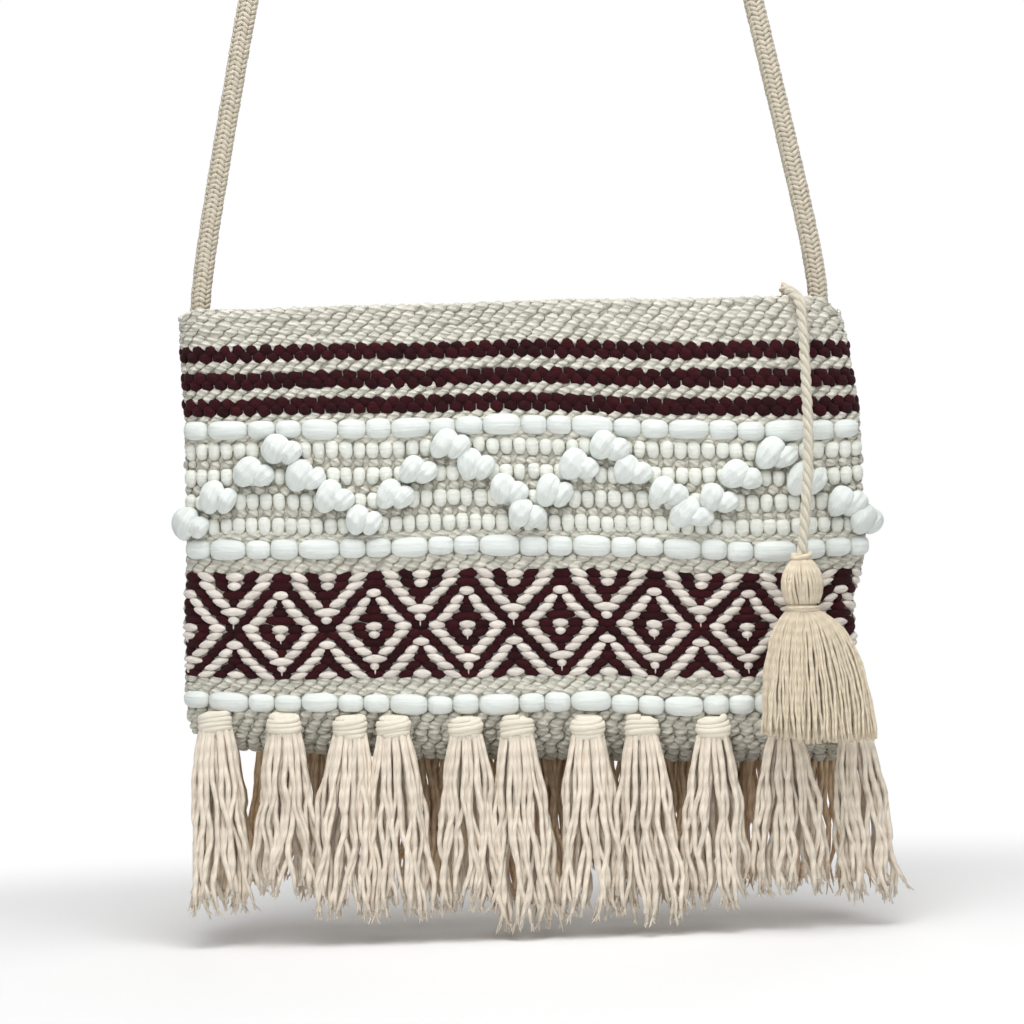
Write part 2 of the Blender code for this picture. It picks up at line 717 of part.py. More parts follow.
def build_zip_tassel(parent):
    along, y, down = TASSEL_PLACE
    x = slider_x() + along
    top = -STRAP_DROP - down
    lean = TASSEL_LEAN
    head = TASSEL_HEAD_WIDTH
    neck = TASSEL_NECK
    neck_z = -TASSEL_HEAD_HEIGHT - TASSEL_WRAP_HEIGHT / 2
    rings = [oval_ring(0.30 * head, 0.30 * head, 0.0, 10)]
    for share, size in ((0.12, 0.66), (0.36, 0.94), (0.62, 1.0), (0.86, 0.86)):
        rings.append(oval_ring(size * head, size * head, -share * TASSEL_HEAD_HEIGHT, 10))
    rings.append(oval_ring(neck, neck, neck_z + TASSEL_WRAP_HEIGHT / 2 - GAP, 10))
    rings.append(oval_ring(neck, neck, neck_z - TASSEL_WRAP_HEIGHT / 2, 10))
    flare = TASSEL_LENGTH - TASSEL_HEAD_HEIGHT - TASSEL_WRAP_HEIGHT
    for share, spread in ((0.10, 0.22), (0.40, 0.58), (0.72, 0.86), (1.0, 1.0)):
        width = head + (TASSEL_SKIRT_WIDTH - head) * spread
        depth = head + (TASSEL_SKIRT_DEPTH - head) * spread
        z = -TASSEL_HEAD_HEIGHT - TASSEL_WRAP_HEIGHT - share * flare
        rings.append(oval_ring(width, depth, z, 10, 0.12, lean * share))
    bundle = add_piece("zip_tassel", loft(rings), TASSEL, parent, (x, y, top))
    smooth(bundle, 50)
    wall = (TASSEL_WRAP_WIDTH - neck) / 2 - GAP
    wrap = tube_band(TASSEL_WRAP_WIDTH, TASSEL_WRAP_WIDTH, TASSEL_WRAP_HEIGHT - 2 * GAP, wall, 10)
    smooth(add_piece("zip_tassel_wrap", wrap, TASSEL, parent, (x, y, top + neck_z)), 50)


def smooth_route(points, spacing):
    # Catmull-Rom curve through the points, read at even steps
    ends = [2 * points[0] - points[1]] + list(points) + [2 * points[-1] - points[-2]]
    fine = []
    for before, start, end, after in zip(ends, ends[1:], ends[2:], ends[3:]):
        for step in range(20):
            t = step / 20
            fine.append(0.5 * (2 * start + (end - before) * t
                               + (2 * before - 5 * start + 4 * end - after) * t ** 2
                               + (3 * start - before - 3 * end + after) * t ** 3))
    fine.append(points[-1])
    lengths = [0.0]
    for near, far in zip(fine, fine[1:]):
        lengths.append(lengths[-1] + (far - near).length)
    count = max(2, round(lengths[-1] / spacing))
    even = []
    cursor = 0
    for index in range(count + 1):
        target = lengths[-1] * index / count
        while cursor < len(lengths) - 2 and lengths[cursor + 1] < target:
            cursor += 1
        span = lengths[cursor + 1] - lengths[cursor]
        share = (target - lengths[cursor]) / span if span else 0.0
        even.append(fine[cursor].lerp(fine[cursor + 1], min(1.0, share)))
    return even


def add_cord(name, points, diameter, finish, parent):
    curve = bpy.data.curves.new(name, "CURVE")
    curve.dimensions = "3D"
    curve.bevel_depth = diameter / 2
    curve.bevel_resolution = 2
    curve.use_fill_caps = True
    spline = curve.splines.new("POLY")
    spline.points.add(len(points) - 1)
    origin = parent.matrix_world.translation
    for target, point in zip(spline.points, points):
        target.co = (*(point - origin), 1.0)
    curve.materials.append(material(finish))
    cord = bpy.data.objects.new(name, curve)
    bpy.context.collection.objects.link(cord)
    cord.parent = parent


def build_strap(parent):
    spread = (RIM_WIDTH / 2 - STRAP_MARGIN) / STRAP_ROUTE[0][0]
    right = [Vector((x * spread, 0.0, height - STRAP_DROP)) for x, height in STRAP_ROUTE]
    top = Vector((0.0, 0.0, STRAP_DIAMETER / 2))
    left = [Vector((-point.x, point.y, point.z)) for point in reversed(right)]
    route = smooth_route(right + [top] + left, 3.0 * STRAP_DIAMETER)
    add_cord("strap_rope", route, STRAP_DIAMETER, ROPE, parent)


def build_tassel_cord(parent):
    points = [Vector((slider_x() + along, y, height - STRAP_DROP)) for along, y, height in CORD_ROUTE]
    add_cord("tassel_cord", smooth_route(points, 2.0 * CORD_DIAMETER), CORD_DIAMETER, TASSEL, parent)


def build_bag():
    clear_scene()
    hang_point = add_empty("hang_point", (0.0, 0.0, 0.0))
    build_shell(hang_point)
    build_lining(hang_point)
    build_rows(hang_point)
    build_diamond_band(hang_point)
    build_fringe(hang_point)
    for name, face in (("front", FRONT), ("back", BACK)):
        build_zip_tape(f"zip_tape_{name}", face, hang_point)
        build_zip_teeth(f"zip_teeth_{name}", face, hang_point)
    build_zip_stop("zip_end_stop", 1, hang_point)
    build_zip_stop("zip_start_stop", -1, hang_point)
    axis_place = (slider_x(), 0.0, pivot_height())
    slide_axis = add_empty("zip_slide_axis", axis_place, hang_point)
    build_slider(slide_axis, axis_place)
    swing_axis = add_empty("pull_swing_axis", axis_place, slide_axis)
    build_pull_ring(swing_axis, axis_place)
    build_tassel_cord(swing_axis)
    build_zip_tassel(swing_axis)
    build_strap(hang_point)


build_bag()
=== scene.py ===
import math

import bpy
import numpy as np
from mathutils import Matrix, Vector


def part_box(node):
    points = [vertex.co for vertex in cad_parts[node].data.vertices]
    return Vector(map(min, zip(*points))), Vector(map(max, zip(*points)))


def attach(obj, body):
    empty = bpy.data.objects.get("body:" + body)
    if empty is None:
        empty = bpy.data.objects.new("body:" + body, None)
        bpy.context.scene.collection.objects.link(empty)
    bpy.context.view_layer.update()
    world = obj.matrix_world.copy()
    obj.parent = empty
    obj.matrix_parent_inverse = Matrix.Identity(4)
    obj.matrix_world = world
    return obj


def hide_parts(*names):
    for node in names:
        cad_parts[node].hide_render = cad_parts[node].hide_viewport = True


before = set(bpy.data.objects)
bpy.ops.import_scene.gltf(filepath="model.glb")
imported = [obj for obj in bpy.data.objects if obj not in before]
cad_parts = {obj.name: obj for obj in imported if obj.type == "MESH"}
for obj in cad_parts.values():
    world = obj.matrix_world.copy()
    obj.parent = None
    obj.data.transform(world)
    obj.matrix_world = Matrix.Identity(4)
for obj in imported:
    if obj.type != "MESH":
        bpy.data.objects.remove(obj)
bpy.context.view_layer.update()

# Handwoven shoulder pouch: every length is in metres, heights on the cloth are "down" from the rim,
# and the front faces -Y. The places repeat those of the solids in the frame.
front = -1
back = 1
randomSeed = 20


# Shader maths written as Python

class Wire:  # an output socket, so that sums on it add Math nodes
    def __init__(self, paint, socket):
        self.paint = paint
        self.socket = socket

    def output(self, place):  # another output of the same node
        return Wire(self.paint, self.socket.node.outputs[place])

    def maths(self, operation, first, second=0.0):
        return self.paint.node("ShaderNodeMath", {"operation": operation}, {0: first, 1: second})

    def __add__(self, other):
        return self.maths("ADD", self, other)

    __radd__ = __add__

    def __sub__(self, other):
        return self.maths("SUBTRACT", self, other)

    def __rsub__(self, other):
        return self.maths("SUBTRACT", other, self)

    def __mul__(self, other):
        return self.maths("MULTIPLY", self, other)

    __rmul__ = __mul__

    def __truediv__(self, other):
        return self.maths("DIVIDE", self, other)

    def __rtruediv__(self, other):
        return self.maths("DIVIDE", other, self)

    def __pow__(self, other):
        return self.maths("POWER", self, other)

    def wave(self):
        return self.maths("SINE", self)

    def ramp(self, low, high):  # 0 below low, 1 above high, smooth between
        settings = {"interpolation_type": "SMOOTHSTEP"}
        values = {"Value": self, "From Min": low, "From Max": high}
        return self.paint.node("ShaderNodeMapRange", settings, values)


class Paint:  # one material, or the world, and the nodes in it
    def __init__(self, name, world=None):
        self.material = world or bpy.data.materials.new(name)
        self.material.use_nodes = True
        self.tree = self.material.node_tree
        self.shader = self.tree.nodes.get("Principled BSDF")

    def node(self, kind, settings=None, values=None, output=0):
        made = self.tree.nodes.new(kind)
        for key, value in (settings or {}).items():
            setattr(made, key, value)
        for place, value in (values or {}).items():
            self.join(value, made.inputs[place])
        return Wire(self, made.outputs[output])

    def join(self, value, socket):
        if isinstance(value, Wire):
            self.tree.links.new(value.socket, socket)
        else:
            socket.default_value = value

    def read(self, name, output="Fac"):
        return self.node("ShaderNodeAttribute", {"attribute_name": name}, None, output)

    def split(self, vector):
        parts = self.node("ShaderNodeSeparateXYZ", None, {0: vector})
        return [parts.output(axis) for axis in range(3)]

    def vector(self, x, y, z):
        return self.node("ShaderNodeCombineXYZ", None, {0: x, 1: y, 2: z})

    def noise(self, place, scale, detail=2.0):
        return self.node("ShaderNodeTexNoise", None, {"Vector": place, "Scale": scale, "Detail": detail})

    def mix(self, share, first, second):
        settings = {"data_type": "RGBA", "clamp_factor": True}
        return self.node("ShaderNodeMix", settings, {0: share, 6: first, 7: second}, 2)

    def tint(self, colour, level):  # a colour made lighter or darker by a value
        level = self.vector(level, level, level)
        settings = {"operation": "MULTIPLY"}
        colour = colour if isinstance(colour, Wire) else colour[:3]
        return self.node("ShaderNodeVectorMath", settings, {0: colour, 1: level})

    def bump(self, height, strength, distance):
        values = {"Height": height, "Strength": strength, "Distance": distance}
        return self.node("ShaderNodeBump", None, values)

    def set(self, **values):
        names = {"colour": "Base Color", "roughness": "Roughness", "metallic": "Metallic",
                 "normal": "Normal", "sheen": "Sheen Weight", "sheenRoughness": "Sheen Roughness",
                 "shine": "Specular IOR Level"}
        for name, value in values.items():
            self.join(value, self.shader.inputs[names[name]])
        return self.material


def shade(colour):  # an eight-bit screen colour as the linear colour that shaders use
    def channel(level):
        level = level / 255
        return level / 12.92 if level <= 0.04045 else ((level + 0.055) / 1.055) ** 2.4
    return (*[channel(level) for level in colour], 1.0)


# Materials. Yarn pieces carry two attributes: yarn, as length along, place across and height, and tone

def yarnPaint(name, look):
    paint = Paint(name)
    along, across, height = paint.split(paint.read("yarn", "Vector"))
    tone = paint.read("tone")
    fibre = paint.vector(along * look["alongScale"], across * look["acrossScale"], tone * 40)
    streak = paint.noise(fibre, 1.0, 3.0)
    fluff = paint.noise(fibre, 3.1, 2.0)
    level = 1 - look["toneSpread"] * (tone - 0.5) - look["streakSpread"] * (streak - 0.5)
    # low on each float the colour fades to the darker root colour, a painted shade in the crevices where
    # floats meet the cloth and each other
    root = paint.mix(height.ramp(0.0, look["rootHeight"]), shade(look["root"]), shade(look["colour"]))
    bumps = streak * 0.7 + fluff * 0.3
    if look.get("twist"):
        turns = along / look["twist"] + across * look["plies"]
        ply = (turns * 2 * math.pi).wave() * 0.5 + 0.5
        bumps = bumps * 0.35 + ply
        # darker in the creases between twisted plies, a painted shade
        level = level * (1 - look["plyShade"] * (1 - ply))
    normal = paint.bump(bumps, look["bumpStrength"], look["bumpDepth"])
    return paint.set(colour=paint.tint(root, level), roughness=0.78 + streak * 0.3, normal=normal,
                     sheen=look.get("sheen", 0.12), sheenRoughness=0.5, shine=0.2)


yarnLook = {
    "colour": (220, 217, 204), "root": (158, 151, 135), "toneSpread": 0.16, "streakSpread": 0.55,
    "rootHeight": 0.55, "alongScale": 300, "acrossScale": 1150, "bumpStrength": 0.9, "bumpDepth": 0.0006,
}

creamYarn = yarnPaint("cream cotton yarn", {**yarnLook, "twist": 0.0034, "plies": 330, "plyShade": 0.20})
maroonYarn = yarnPaint("maroon cotton yarn", {
    **yarnLook, "colour": (46, 8, 14), "root": (20, 4, 6), "toneSpread": 0.7, "streakSpread": 1.1,
    "sheen": 0.04,
})
bandCreamYarn = yarnPaint("cream yarn of the band", {
    **yarnLook, "colour": (222, 214, 205), "root": (130, 112, 104),
})
rovingYarn = yarnPaint("white cotton roving", {
    **yarnLook, "colour": (225, 230, 226), "root": (180, 181, 171), "toneSpread": 0.05, "streakSpread": 0.26,
    "alongScale": 60, "acrossScale": 900, "bumpStrength": 0.7, "bumpDepth": 0.0008, "sheen": 0.15,
})
pipYarn = yarnPaint("short white roving", {
    **yarnLook, "colour": (230, 232, 223), "root": (176, 171, 155), "toneSpread": 0.08, "streakSpread": 0.30,
    "alongScale": 90, "acrossScale": 1000, "bumpStrength": 0.9, "bumpDepth": 0.0008,
})
fringeYarn = yarnPaint("fringe cotton", {
    **yarnLook, "colour": (238, 226, 209), "root": (238, 226, 209), "toneSpread": 0.14, "streakSpread": 0.16,
    "alongScale": 300, "acrossScale": 6, "twist": 0.0062, "plies": 2, "plyShade": 0.13,
    "bumpStrength": 0.6, "bumpDepth": 0.0004,
})
# the same cotton as the front fringe, tinted tan as a painted warm shade for the strands that hang behind
shadeTintedBackFringeYarn = yarnPaint("shade-tinted fringe cotton behind", {
    **yarnLook, "colour": (240, 214, 182), "root": (240, 214, 182), "toneSpread": 0.16, "streakSpread": 0.16,
    "alongScale": 300, "acrossScale": 6, "twist": 0.0062, "plies": 2, "plyShade": 0.15,
    "bumpStrength": 0.6, "bumpDepth": 0.0004,
})
wrapYarn = yarnPaint("tassel wraps", {
    **yarnLook, "colour": (230, 222, 206), "root": (230, 222, 206), "toneSpread": 0.08, "streakSpread": 0.24,
    "alongScale": 260, "acrossScale": 9, "bumpStrength": 0.5, "bumpDepth": 0.0004,
})
tasselYarn = yarnPaint("zip tassel yarn", {
    **yarnLook, "colour": (228, 214, 190), "root": (228, 214, 190), "toneSpread": 0.16, "streakSpread": 0.12,
    "alongScale": 400, "acrossScale": 5, "twist": 0.0040, "plies": 2, "plyShade": 0.12,
    "bumpStrength": 0.5, "bumpDepth": 0.0003,
})
ropeYarn = yarnPaint("braided rope", {
    **yarnLook, "colour": (202, 193, 175), "root": (158, 146, 126), "toneSpread": 0.12, "streakSpread": 0.35,
    "alongScale": 500, "acrossScale": 2200, "bumpStrength": 0.6, "bumpDepth": 0.0004,
})
cordYarn = yarnPaint("twisted cord", {
    **yarnLook, "colour": (216, 209, 192), "root": (216, 209, 192), "toneSpread": 0.10, "streakSpread": 0.40,
    "alongScale": 180, "acrossScale": 8, "bumpStrength": 0.9, "bumpDepth": 0.0005,
})
liningCloth = yarnPaint("lining cloth", {
    **yarnLook, "colour": (214, 203, 184), "root": (214, 203, 184), "alongScale": 1300, "acrossScale": 1300,
    "toneSpread": 0.0, "streakSpread": 0.2, "bumpDepth": 0.0003,
})


def tapePaint():
    paint = Paint("zip tape")
    place = paint.node("ShaderNodeTexCoord", None, None, "Object")
    x, y, z = paint.split(place)
    ribs = ((x * 5200).wave() * 0.5 + 0.5) * 0.5 + ((y * 4600 + z * 4600).wave() * 0.5 + 0.5) * 0.5
    dust = paint.noise(place, 320.0)
    # the colour is darker in the grooves between the ribs, a painted shade, and varies at random with the
    # dust noise
    colour = paint.tint(shade((196, 184, 160)), 0.80 + ribs * 0.16 + dust * 0.16)
    return paint.set(colour=colour, roughness=0.75 + dust * 0.25, shine=0.2,
                     normal=paint.bump(ribs, 0.5, 0.0003))


def brassPaint(name, colour, worn):
    paint = Paint(name)
    place = paint.node("ShaderNodeTexCoord", None, None, "Object")
    patina = paint.noise(place, 420.0, 4.0)
    scratch = paint.noise(paint.node("ShaderNodeMapping", None, {0: place, 3: (1500, 300, 300)}), 1.0)
    share = patina.ramp(0.42, 0.66)
    return paint.set(colour=paint.mix(share, shade(colour), shade(worn)), metallic=1.0,
                     roughness=0.24 + share * 0.2 + scratch * 0.16, normal=paint.bump(scratch, 0.12, 0.0001))


zipTape = tapePaint()
zipMetal = brassPaint("antique brass", (176, 148, 98), (112, 88, 54))
teethMetal = brassPaint("brass teeth", (190, 164, 112), (134, 108, 70))
print("materials made")


# Meshes from arrays

def makePiece(name, points, faces, yarn, tone, finish, body="bag", slot=None, stands=()):
    mesh = bpy.data.meshes.new(name)
    mesh.from_pydata(points.reshape(-1, 3).tolist(), [], faces)
    mesh.polygons.foreach_set("use_smooth", [True] * len(mesh.polygons))
    mesh.attributes.new("yarn", "FLOAT_VECTOR", "POINT").data.foreach_set(
        "vector", np.ascontiguousarray(yarn, dtype=np.float32).ravel())
    mesh.attributes.new("tone", "FLOAT", "POINT").data.foreach_set(
        "value", np.ascontiguousarray(tone, dtype=np.float32).ravel())
    mesh.materials.append(finish)
    mesh.validate()
    piece = bpy.data.objects.new(name, mesh)
    bpy.context.scene.collection.objects.link(piece)
    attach(piece, body)
    if stands:
        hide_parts(*stands)
    return piece


def gridFaces(rows, columns, closed, start=0):  # quads between rings of points
    faces = []
    for row in range(rows - 1):
        for column in range(columns if closed else columns - 1):
            following = (column + 1) % columns
            low = start + row * columns
            faces.append((low + column, low + following, low + columns + following, low + columns + column))
    return faces


def repeatFaces(faces, pointCount, copies):
    return [tuple(index + copy * pointCount for index in face) for copy in range(copies) for face in faces]


def sweep(lines, radii, sides, towards):
    # Tubes round many lines at once, each with closed ends. lines is (tubes, stations, 3)
    tangents = np.gradient(lines, axis=1)
    tangents /= np.linalg.norm(tangents, axis=2, keepdims=True)
    across = np.cross(tangents, np.array(towards, float))
    across /= np.linalg.norm(across, axis=2, keepdims=True)
    upward = np.cross(across, tangents)
    tubes, stations = lines.shape[:2]
    angles = 2 * np.pi * np.arange(sides) / sides
    ring = across[:, :, None] * np.cos(angles)[:, None] + upward[:, :, None] * np.sin(angles)[:, None]
    points = lines[:, :, None] + ring * radii[:, :, None, None]
    steps = np.linalg.norm(np.diff(lines, axis=1), axis=2)
    along = np.concatenate([np.zeros((tubes, 1)), np.cumsum(steps, axis=1)], axis=1)
    yarn = np.zeros(points.shape)
    yarn[..., 0] = along[:, :, None]
    yarn[..., 1] = np.arange(sides) / sides
    yarn[..., 2] = 1.0
    single = gridFaces(stations, sides, True)
    single.append(tuple(reversed(range(sides))))
    single.append(tuple(range((stations - 1) * sides, stations * sides)))
    return points.reshape(-1, 3), repeatFaces(single, stations * sides, tubes), yarn.reshape(-1, 3)


def joinParts(parts):  # several (points, faces, yarn, tone) as one
    points = []
    faces = []
    start = 0
    for part in parts:
        points.append(part[0])
        faces += [tuple(index + start for index in face) for face in part[1]]
        start += len(part[0])
    yarn, tone = [np.concatenate([part[index] for part in parts]) for index in (2, 3)]
    return np.concatenate(points), faces, yarn, tone


def smoothRoute(points, spacing):
    # Catmull-Rom curve through the points, read at even steps
    points = [Vector(point) for point in points]
    ends = [2 * points[0] - points[1]] + points + [2 * points[-1] - points[-2]]
    fine = []
    for before, start, end, after in zip(ends, ends[1:], ends[2:], ends[3:]):
        for step in range(20):
            t = step / 20
            fine.append(0.5 * (2 * start + (end - before) * t
                               + (2 * before - 5 * start + 4 * end - after) * t ** 2
                               + (3 * start - before - 3 * end + after) * t ** 3))
    fine.append(points[-1])
    fine = np.array([tuple(point) for point in fine])
    lengths = np.concatenate([[0.0], np.cumsum(np.linalg.norm(np.diff(fine, axis=0), axis=1))])
    even = np.linspace(0, lengths[-1], max(3, round(lengths[-1] / spacing) + 1))
    return np.stack([np.interp(even, lengths, fine[:, axis]) for axis in range(3)], axis=1)


# Camera, lights, floor

photo = {
    "size": 1024, "metresPerPixel": 0.00041, "distance": 1.45, "elevation": 1.5, "turn": 1.9,
    "rimMiddle": (509, 303), "sensor": 36.0,
}
strapDrop = 0.300


def fromPhoto(px, py):  # a pixel of the photo as x and down on the pouch, before the cloth's sag
    turn = math.radians(photo["turn"])
    right = px - photo["rimMiddle"][0]
    below = py - photo["rimMiddle"][1]
    x = (right * math.cos(turn) - below * math.sin(turn)) * photo["metresPerPixel"]
    down = (right * math.sin(turn) + below * math.cos(turn)) * photo["metresPerPixel"]
    return x, down


def makeCamera():
    data = bpy.data.cameras.new("camera")
    data.sensor_width = photo["sensor"]
    data.lens = photo["sensor"] * photo["distance"] / (photo["size"] * photo["metresPerPixel"])
    data.clip_start = 0.05
    camera = bpy.data.objects.new("camera", data)
    bpy.context.scene.collection.objects.link(camera)
    x, down = fromPhoto(photo["size"] / 2, photo["size"] / 2)
    target = Vector((x, -0.016, -strapDrop - down))
    rise = math.radians(photo["elevation"])
    turn = math.radians(photo["turn"])
    forward = Vector((0, math.cos(rise), -math.sin(rise)))
    upright = Vector((0, math.sin(rise), math.cos(rise)))
    sideways = Vector((1, 0, 0))
    right = sideways * math.cos(turn) - upright * math.sin(turn)
    upward = upright * math.cos(turn) + sideways * math.sin(turn)
    place = target - forward * photo["distance"]
    camera.matrix_world = Matrix((
        (right.x, upward.x, -forward.x, place.x),
        (right.y, upward.y, -forward.y, place.y),
        (right.z, upward.z, -forward.z, place.z),
        (0, 0, 0, 1),
    ))
    bpy.context.scene.camera = camera


studio = {
    "floorHeight": -0.5612, "floorSize": 3.0, "fadeFrom": 0.19, "fadeTo": 0.34, "lampsTowards": (0, 0, -0.40),
    "worldLight": 0.20, "worldTint": (0.97, 0.985, 1.0, 1.0),
    "key": ((-0.45, -1.30, 0.20), 1.0, 4.6), "fill": ((1.1, -1.2, -0.20), 1.2, 2.2),
    "top": ((0.05, -0.46, 0.62), 0.9, 13.5), "rear": ((0.30, 1.40, 0.10), 1.2, 7.0),
}


def seenDirectly(paint):  # 1 for rays that end in the eye or a mirror
    ray = paint.node("ShaderNodeLightPath")
    total = ray.output("Is Camera Ray") + ray.output("Is Glossy Ray") + ray.output("Is Transmission Ray")
    return paint.node("ShaderNodeClamp", None, {0: total})


def makeStudio():
    world = bpy.data.worlds.new("studio")
    bpy.context.scene.world = world
    sky = Paint("studio", world)
    ambient = sky.node("ShaderNodeBackground", None, {0: studio["worldTint"], 1: studio["worldLight"]})
    white = sky.node("ShaderNodeBackground", None, {0: (1, 1, 1, 1), 1: 1.0})
    blend = sky.node("ShaderNodeMixShader", None, {0: seenDirectly(sky), 1: ambient, 2: white})
    sky.join(blend, sky.tree.nodes["World Output"].inputs[0])
    for name in ("key", "fill", "top", "rear"):
        place, size, power = studio[name]
        data = bpy.data.lights.new(name, "AREA")
        data.size = size
        data.energy = power
        lamp = bpy.data.objects.new(name, data)
        bpy.context.scene.collection.objects.link(lamp)
        lamp.location = place
        aim = Vector(studio["lampsTowards"]) - Vector(place)
        lamp.rotation_euler = aim.to_track_quat("-Z", "Y").to_euler()

    paint = Paint("floor")
    position = paint.node("ShaderNodeNewGeometry", None, None, "Position")
    x, y, z = paint.split(position)
    away = ((x * 0.62) ** 2 + y ** 2) ** 0.5
    fade = away.ramp(studio["fadeFrom"], studio["fadeTo"])
    paint.set(colour=(0.90, 0.90, 0.90, 1.0), roughness=0.9, shine=0.0)
    plain = Wire(paint, paint.shader.outputs[0])
    glow = paint.node("ShaderNodeEmission", None, {"Color": (1, 1, 1, 1), "Strength": 1.0})
    lift = paint.node("ShaderNodeMixShader", None, {0: fade * seenDirectly(paint), 1: plain, 2: glow})
    paint.join(lift, paint.tree.nodes["Material Output"].inputs[0])
    half = studio["floorSize"] / 2
    mesh = bpy.data.meshes.new("floor")
    corners = [(-half, -half, 0), (half, -half, 0), (half, half, 0), (-half, half, 0)]
    mesh.from_pydata(corners, [], [(0, 1, 2, 3)])
    mesh.materials.append(paint.material)
    floor = bpy.data.objects.new("floor", mesh)
    floor.location.z = studio["floorHeight"]
    bpy.context.scene.collection.objects.link(floor)
    bpy.context.scene.view_settings.view_transform = "Standard"


makeCamera()
makeStudio()
print("camera and studio set")


# Rope strap: a core under eight columns of slanted stitches, whose slant turns over from column to column

strap = {
    "diameter": 0.0085, "core": 0.0036, "columns": 8, "pitch": 0.00205, "stitchLength": 0.0046,
    "stitchWidth": 0.0021, "thickness": 0.0011, "sunk": 0.0004, "slant": 38.0,
    "route": ((.12765, -.0220), (.12770, -.0080), (.12740, .0060), (.12370, .0300), (.11740, .0620),
              (.11060, .0950), (.10400, .1260), (.09450, .1650), (.08000, .2010), (.06000, .2360),
              (.04050, .2610), (.02500, .2810), (.01250, .2972)),
}


def pillow(sides, rings, square=2.0):
    # A rounded float of yarn on a flat base, from -1 to 1 across and 0 to 1 high
    angles = 2 * np.pi * np.arange(sides) / sides
    outline = np.stack([np.cos(angles), np.sin(angles)], axis=1)
    outline = np.sign(outline) * np.abs(outline) ** (2 / square)
    points = []
    for ring in range(rings):
        rise = math.pi / 2 * ring / rings
        level = np.full((sides, 1), math.sin(rise))
        points.append(np.concatenate([outline * math.cos(rise) ** 0.8, level], axis=1))
    points.append(np.array([[0.0, 0.0, 1.0]]))
    faces = gridFaces(rings, sides, True)
    last = (rings - 1) * sides
    for side in range(sides):
        faces.append((last + side, last + (side + 1) % sides, rings * sides))
    faces.append(tuple(reversed(range(sides))))
    return np.concatenate(points), faces


def makeStrap():
    right = [Vector((x, 0.0, height - strapDrop)) for x, height in strap["route"]]
    left = [Vector((-point.x, 0.0, point.z)) for point in reversed(right)]
    route = smoothRoute(right + [Vector((0.0, 0.0, strap["diameter"] / 2))] + left, 0.0012)
    length = np.linalg.norm(np.diff(route, axis=0), axis=1).sum()
    tangents = np.gradient(route, axis=0)
    tangents /= np.linalg.norm(tangents, axis=1, keepdims=True)
    side = np.array([0.0, -1.0, 0.0])
    outward = np.cross(side, tangents)
    stations = np.linspace(0, length, len(route))
    coreEvery = route[::4]
    core = sweep(coreEvery[None], np.full((1, len(coreEvery)), strap["core"]), 16, (0, 1, 0))
    core = (*core, np.full(len(core[0]), 0.5))
    # height 0 paints the whole core in the rope's root colour, a painted shade in the gaps between the
    # stitches
    core[2][:, 2] = 0.0
    unit, unitFaces = pillow(8, 3, 2.2)
    rows = int(length / strap["pitch"])
    rng = np.random.default_rng(randomSeed)
    column, row = np.meshgrid(np.arange(strap["columns"]), np.arange(rows), indexing="ij")
    column = column.ravel()
    row = row.ravel()
    count = len(row)
    lean = np.where(column % 2 == 0, 1.0, -1.0) * math.radians(strap["slant"])
    lean = lean + rng.normal(0, 0.05, count)
    middle = (row + 0.5) * strap["pitch"] + rng.normal(0, 0.00010, count)
    girth = 2 * math.pi * strap["core"]
    around = (column + 0.35) * girth / strap["columns"]
    a = unit[None, :, 0] * strap["stitchLength"] / 2
    b = unit[None, :, 1] * strap["stitchWidth"] / 2 * rng.uniform(0.9, 1.1, (count, 1))
    acrossRope = around[:, None] + a * np.cos(lean)[:, None] - b * np.sin(lean)[:, None]
    alongRope = middle[:, None] + a * np.sin(lean)[:, None] + b * np.cos(lean)[:, None]
    alongRope = np.clip(alongRope, 0, length)
    thickness = strap["thickness"] * rng.uniform(0.85, 1.1, (count, 1))
    height = strap["core"] - strap["sunk"] + unit[None, :, 2] * thickness
    angle = acrossRope / strap["core"]
    place = np.stack([np.interp(alongRope, stations, route[:, axis]) for axis in range(3)], axis=-1)
    aside = np.stack([np.interp(alongRope, stations, outward[:, axis]) for axis in range(3)], axis=-1)
    spoke = side * np.cos(angle)[..., None] + aside * np.sin(angle)[..., None]
    points = (place + spoke * height[..., None]).reshape(-1, 3)
    tone = np.repeat(rng.uniform(0, 1, count), len(unit))
    yarn = np.stack([a + tone.reshape(count, -1), b, np.broadcast_to(unit[None, :, 2], b.shape)], axis=-1)
    stitches = (points, repeatFaces(unitFaces, len(unit), count), yarn.reshape(-1, 3), tone)
    rope = makePiece("strap_braid", *joinParts([core, stitches]), ropeYarn, "bag", "strap_rope",
                     ["strap_rope"])
    print("strap", round(float(length), 3), "m")


makeStrap()


# Tassel cord: three plies twisted round each other

tasselCord = {
    "diameter": 0.0045, "plyRadius": 0.00118, "plyOffset": 0.00112, "lay": 0.0135, "plies": 3,
    "route": ((.1135, -.0039, .0026), (.1149, -.0072, .0016), (.1169, -.0112, .0004), (.1186, -.0150, -.0026),
              (.1196, -.0174, -.0085), (.1199, -.0212, -.0280), (.1198, -.0272, -.0560),
              (.1182, -.0322, -.0800), (.1150, -.0350, -.1071)),
}


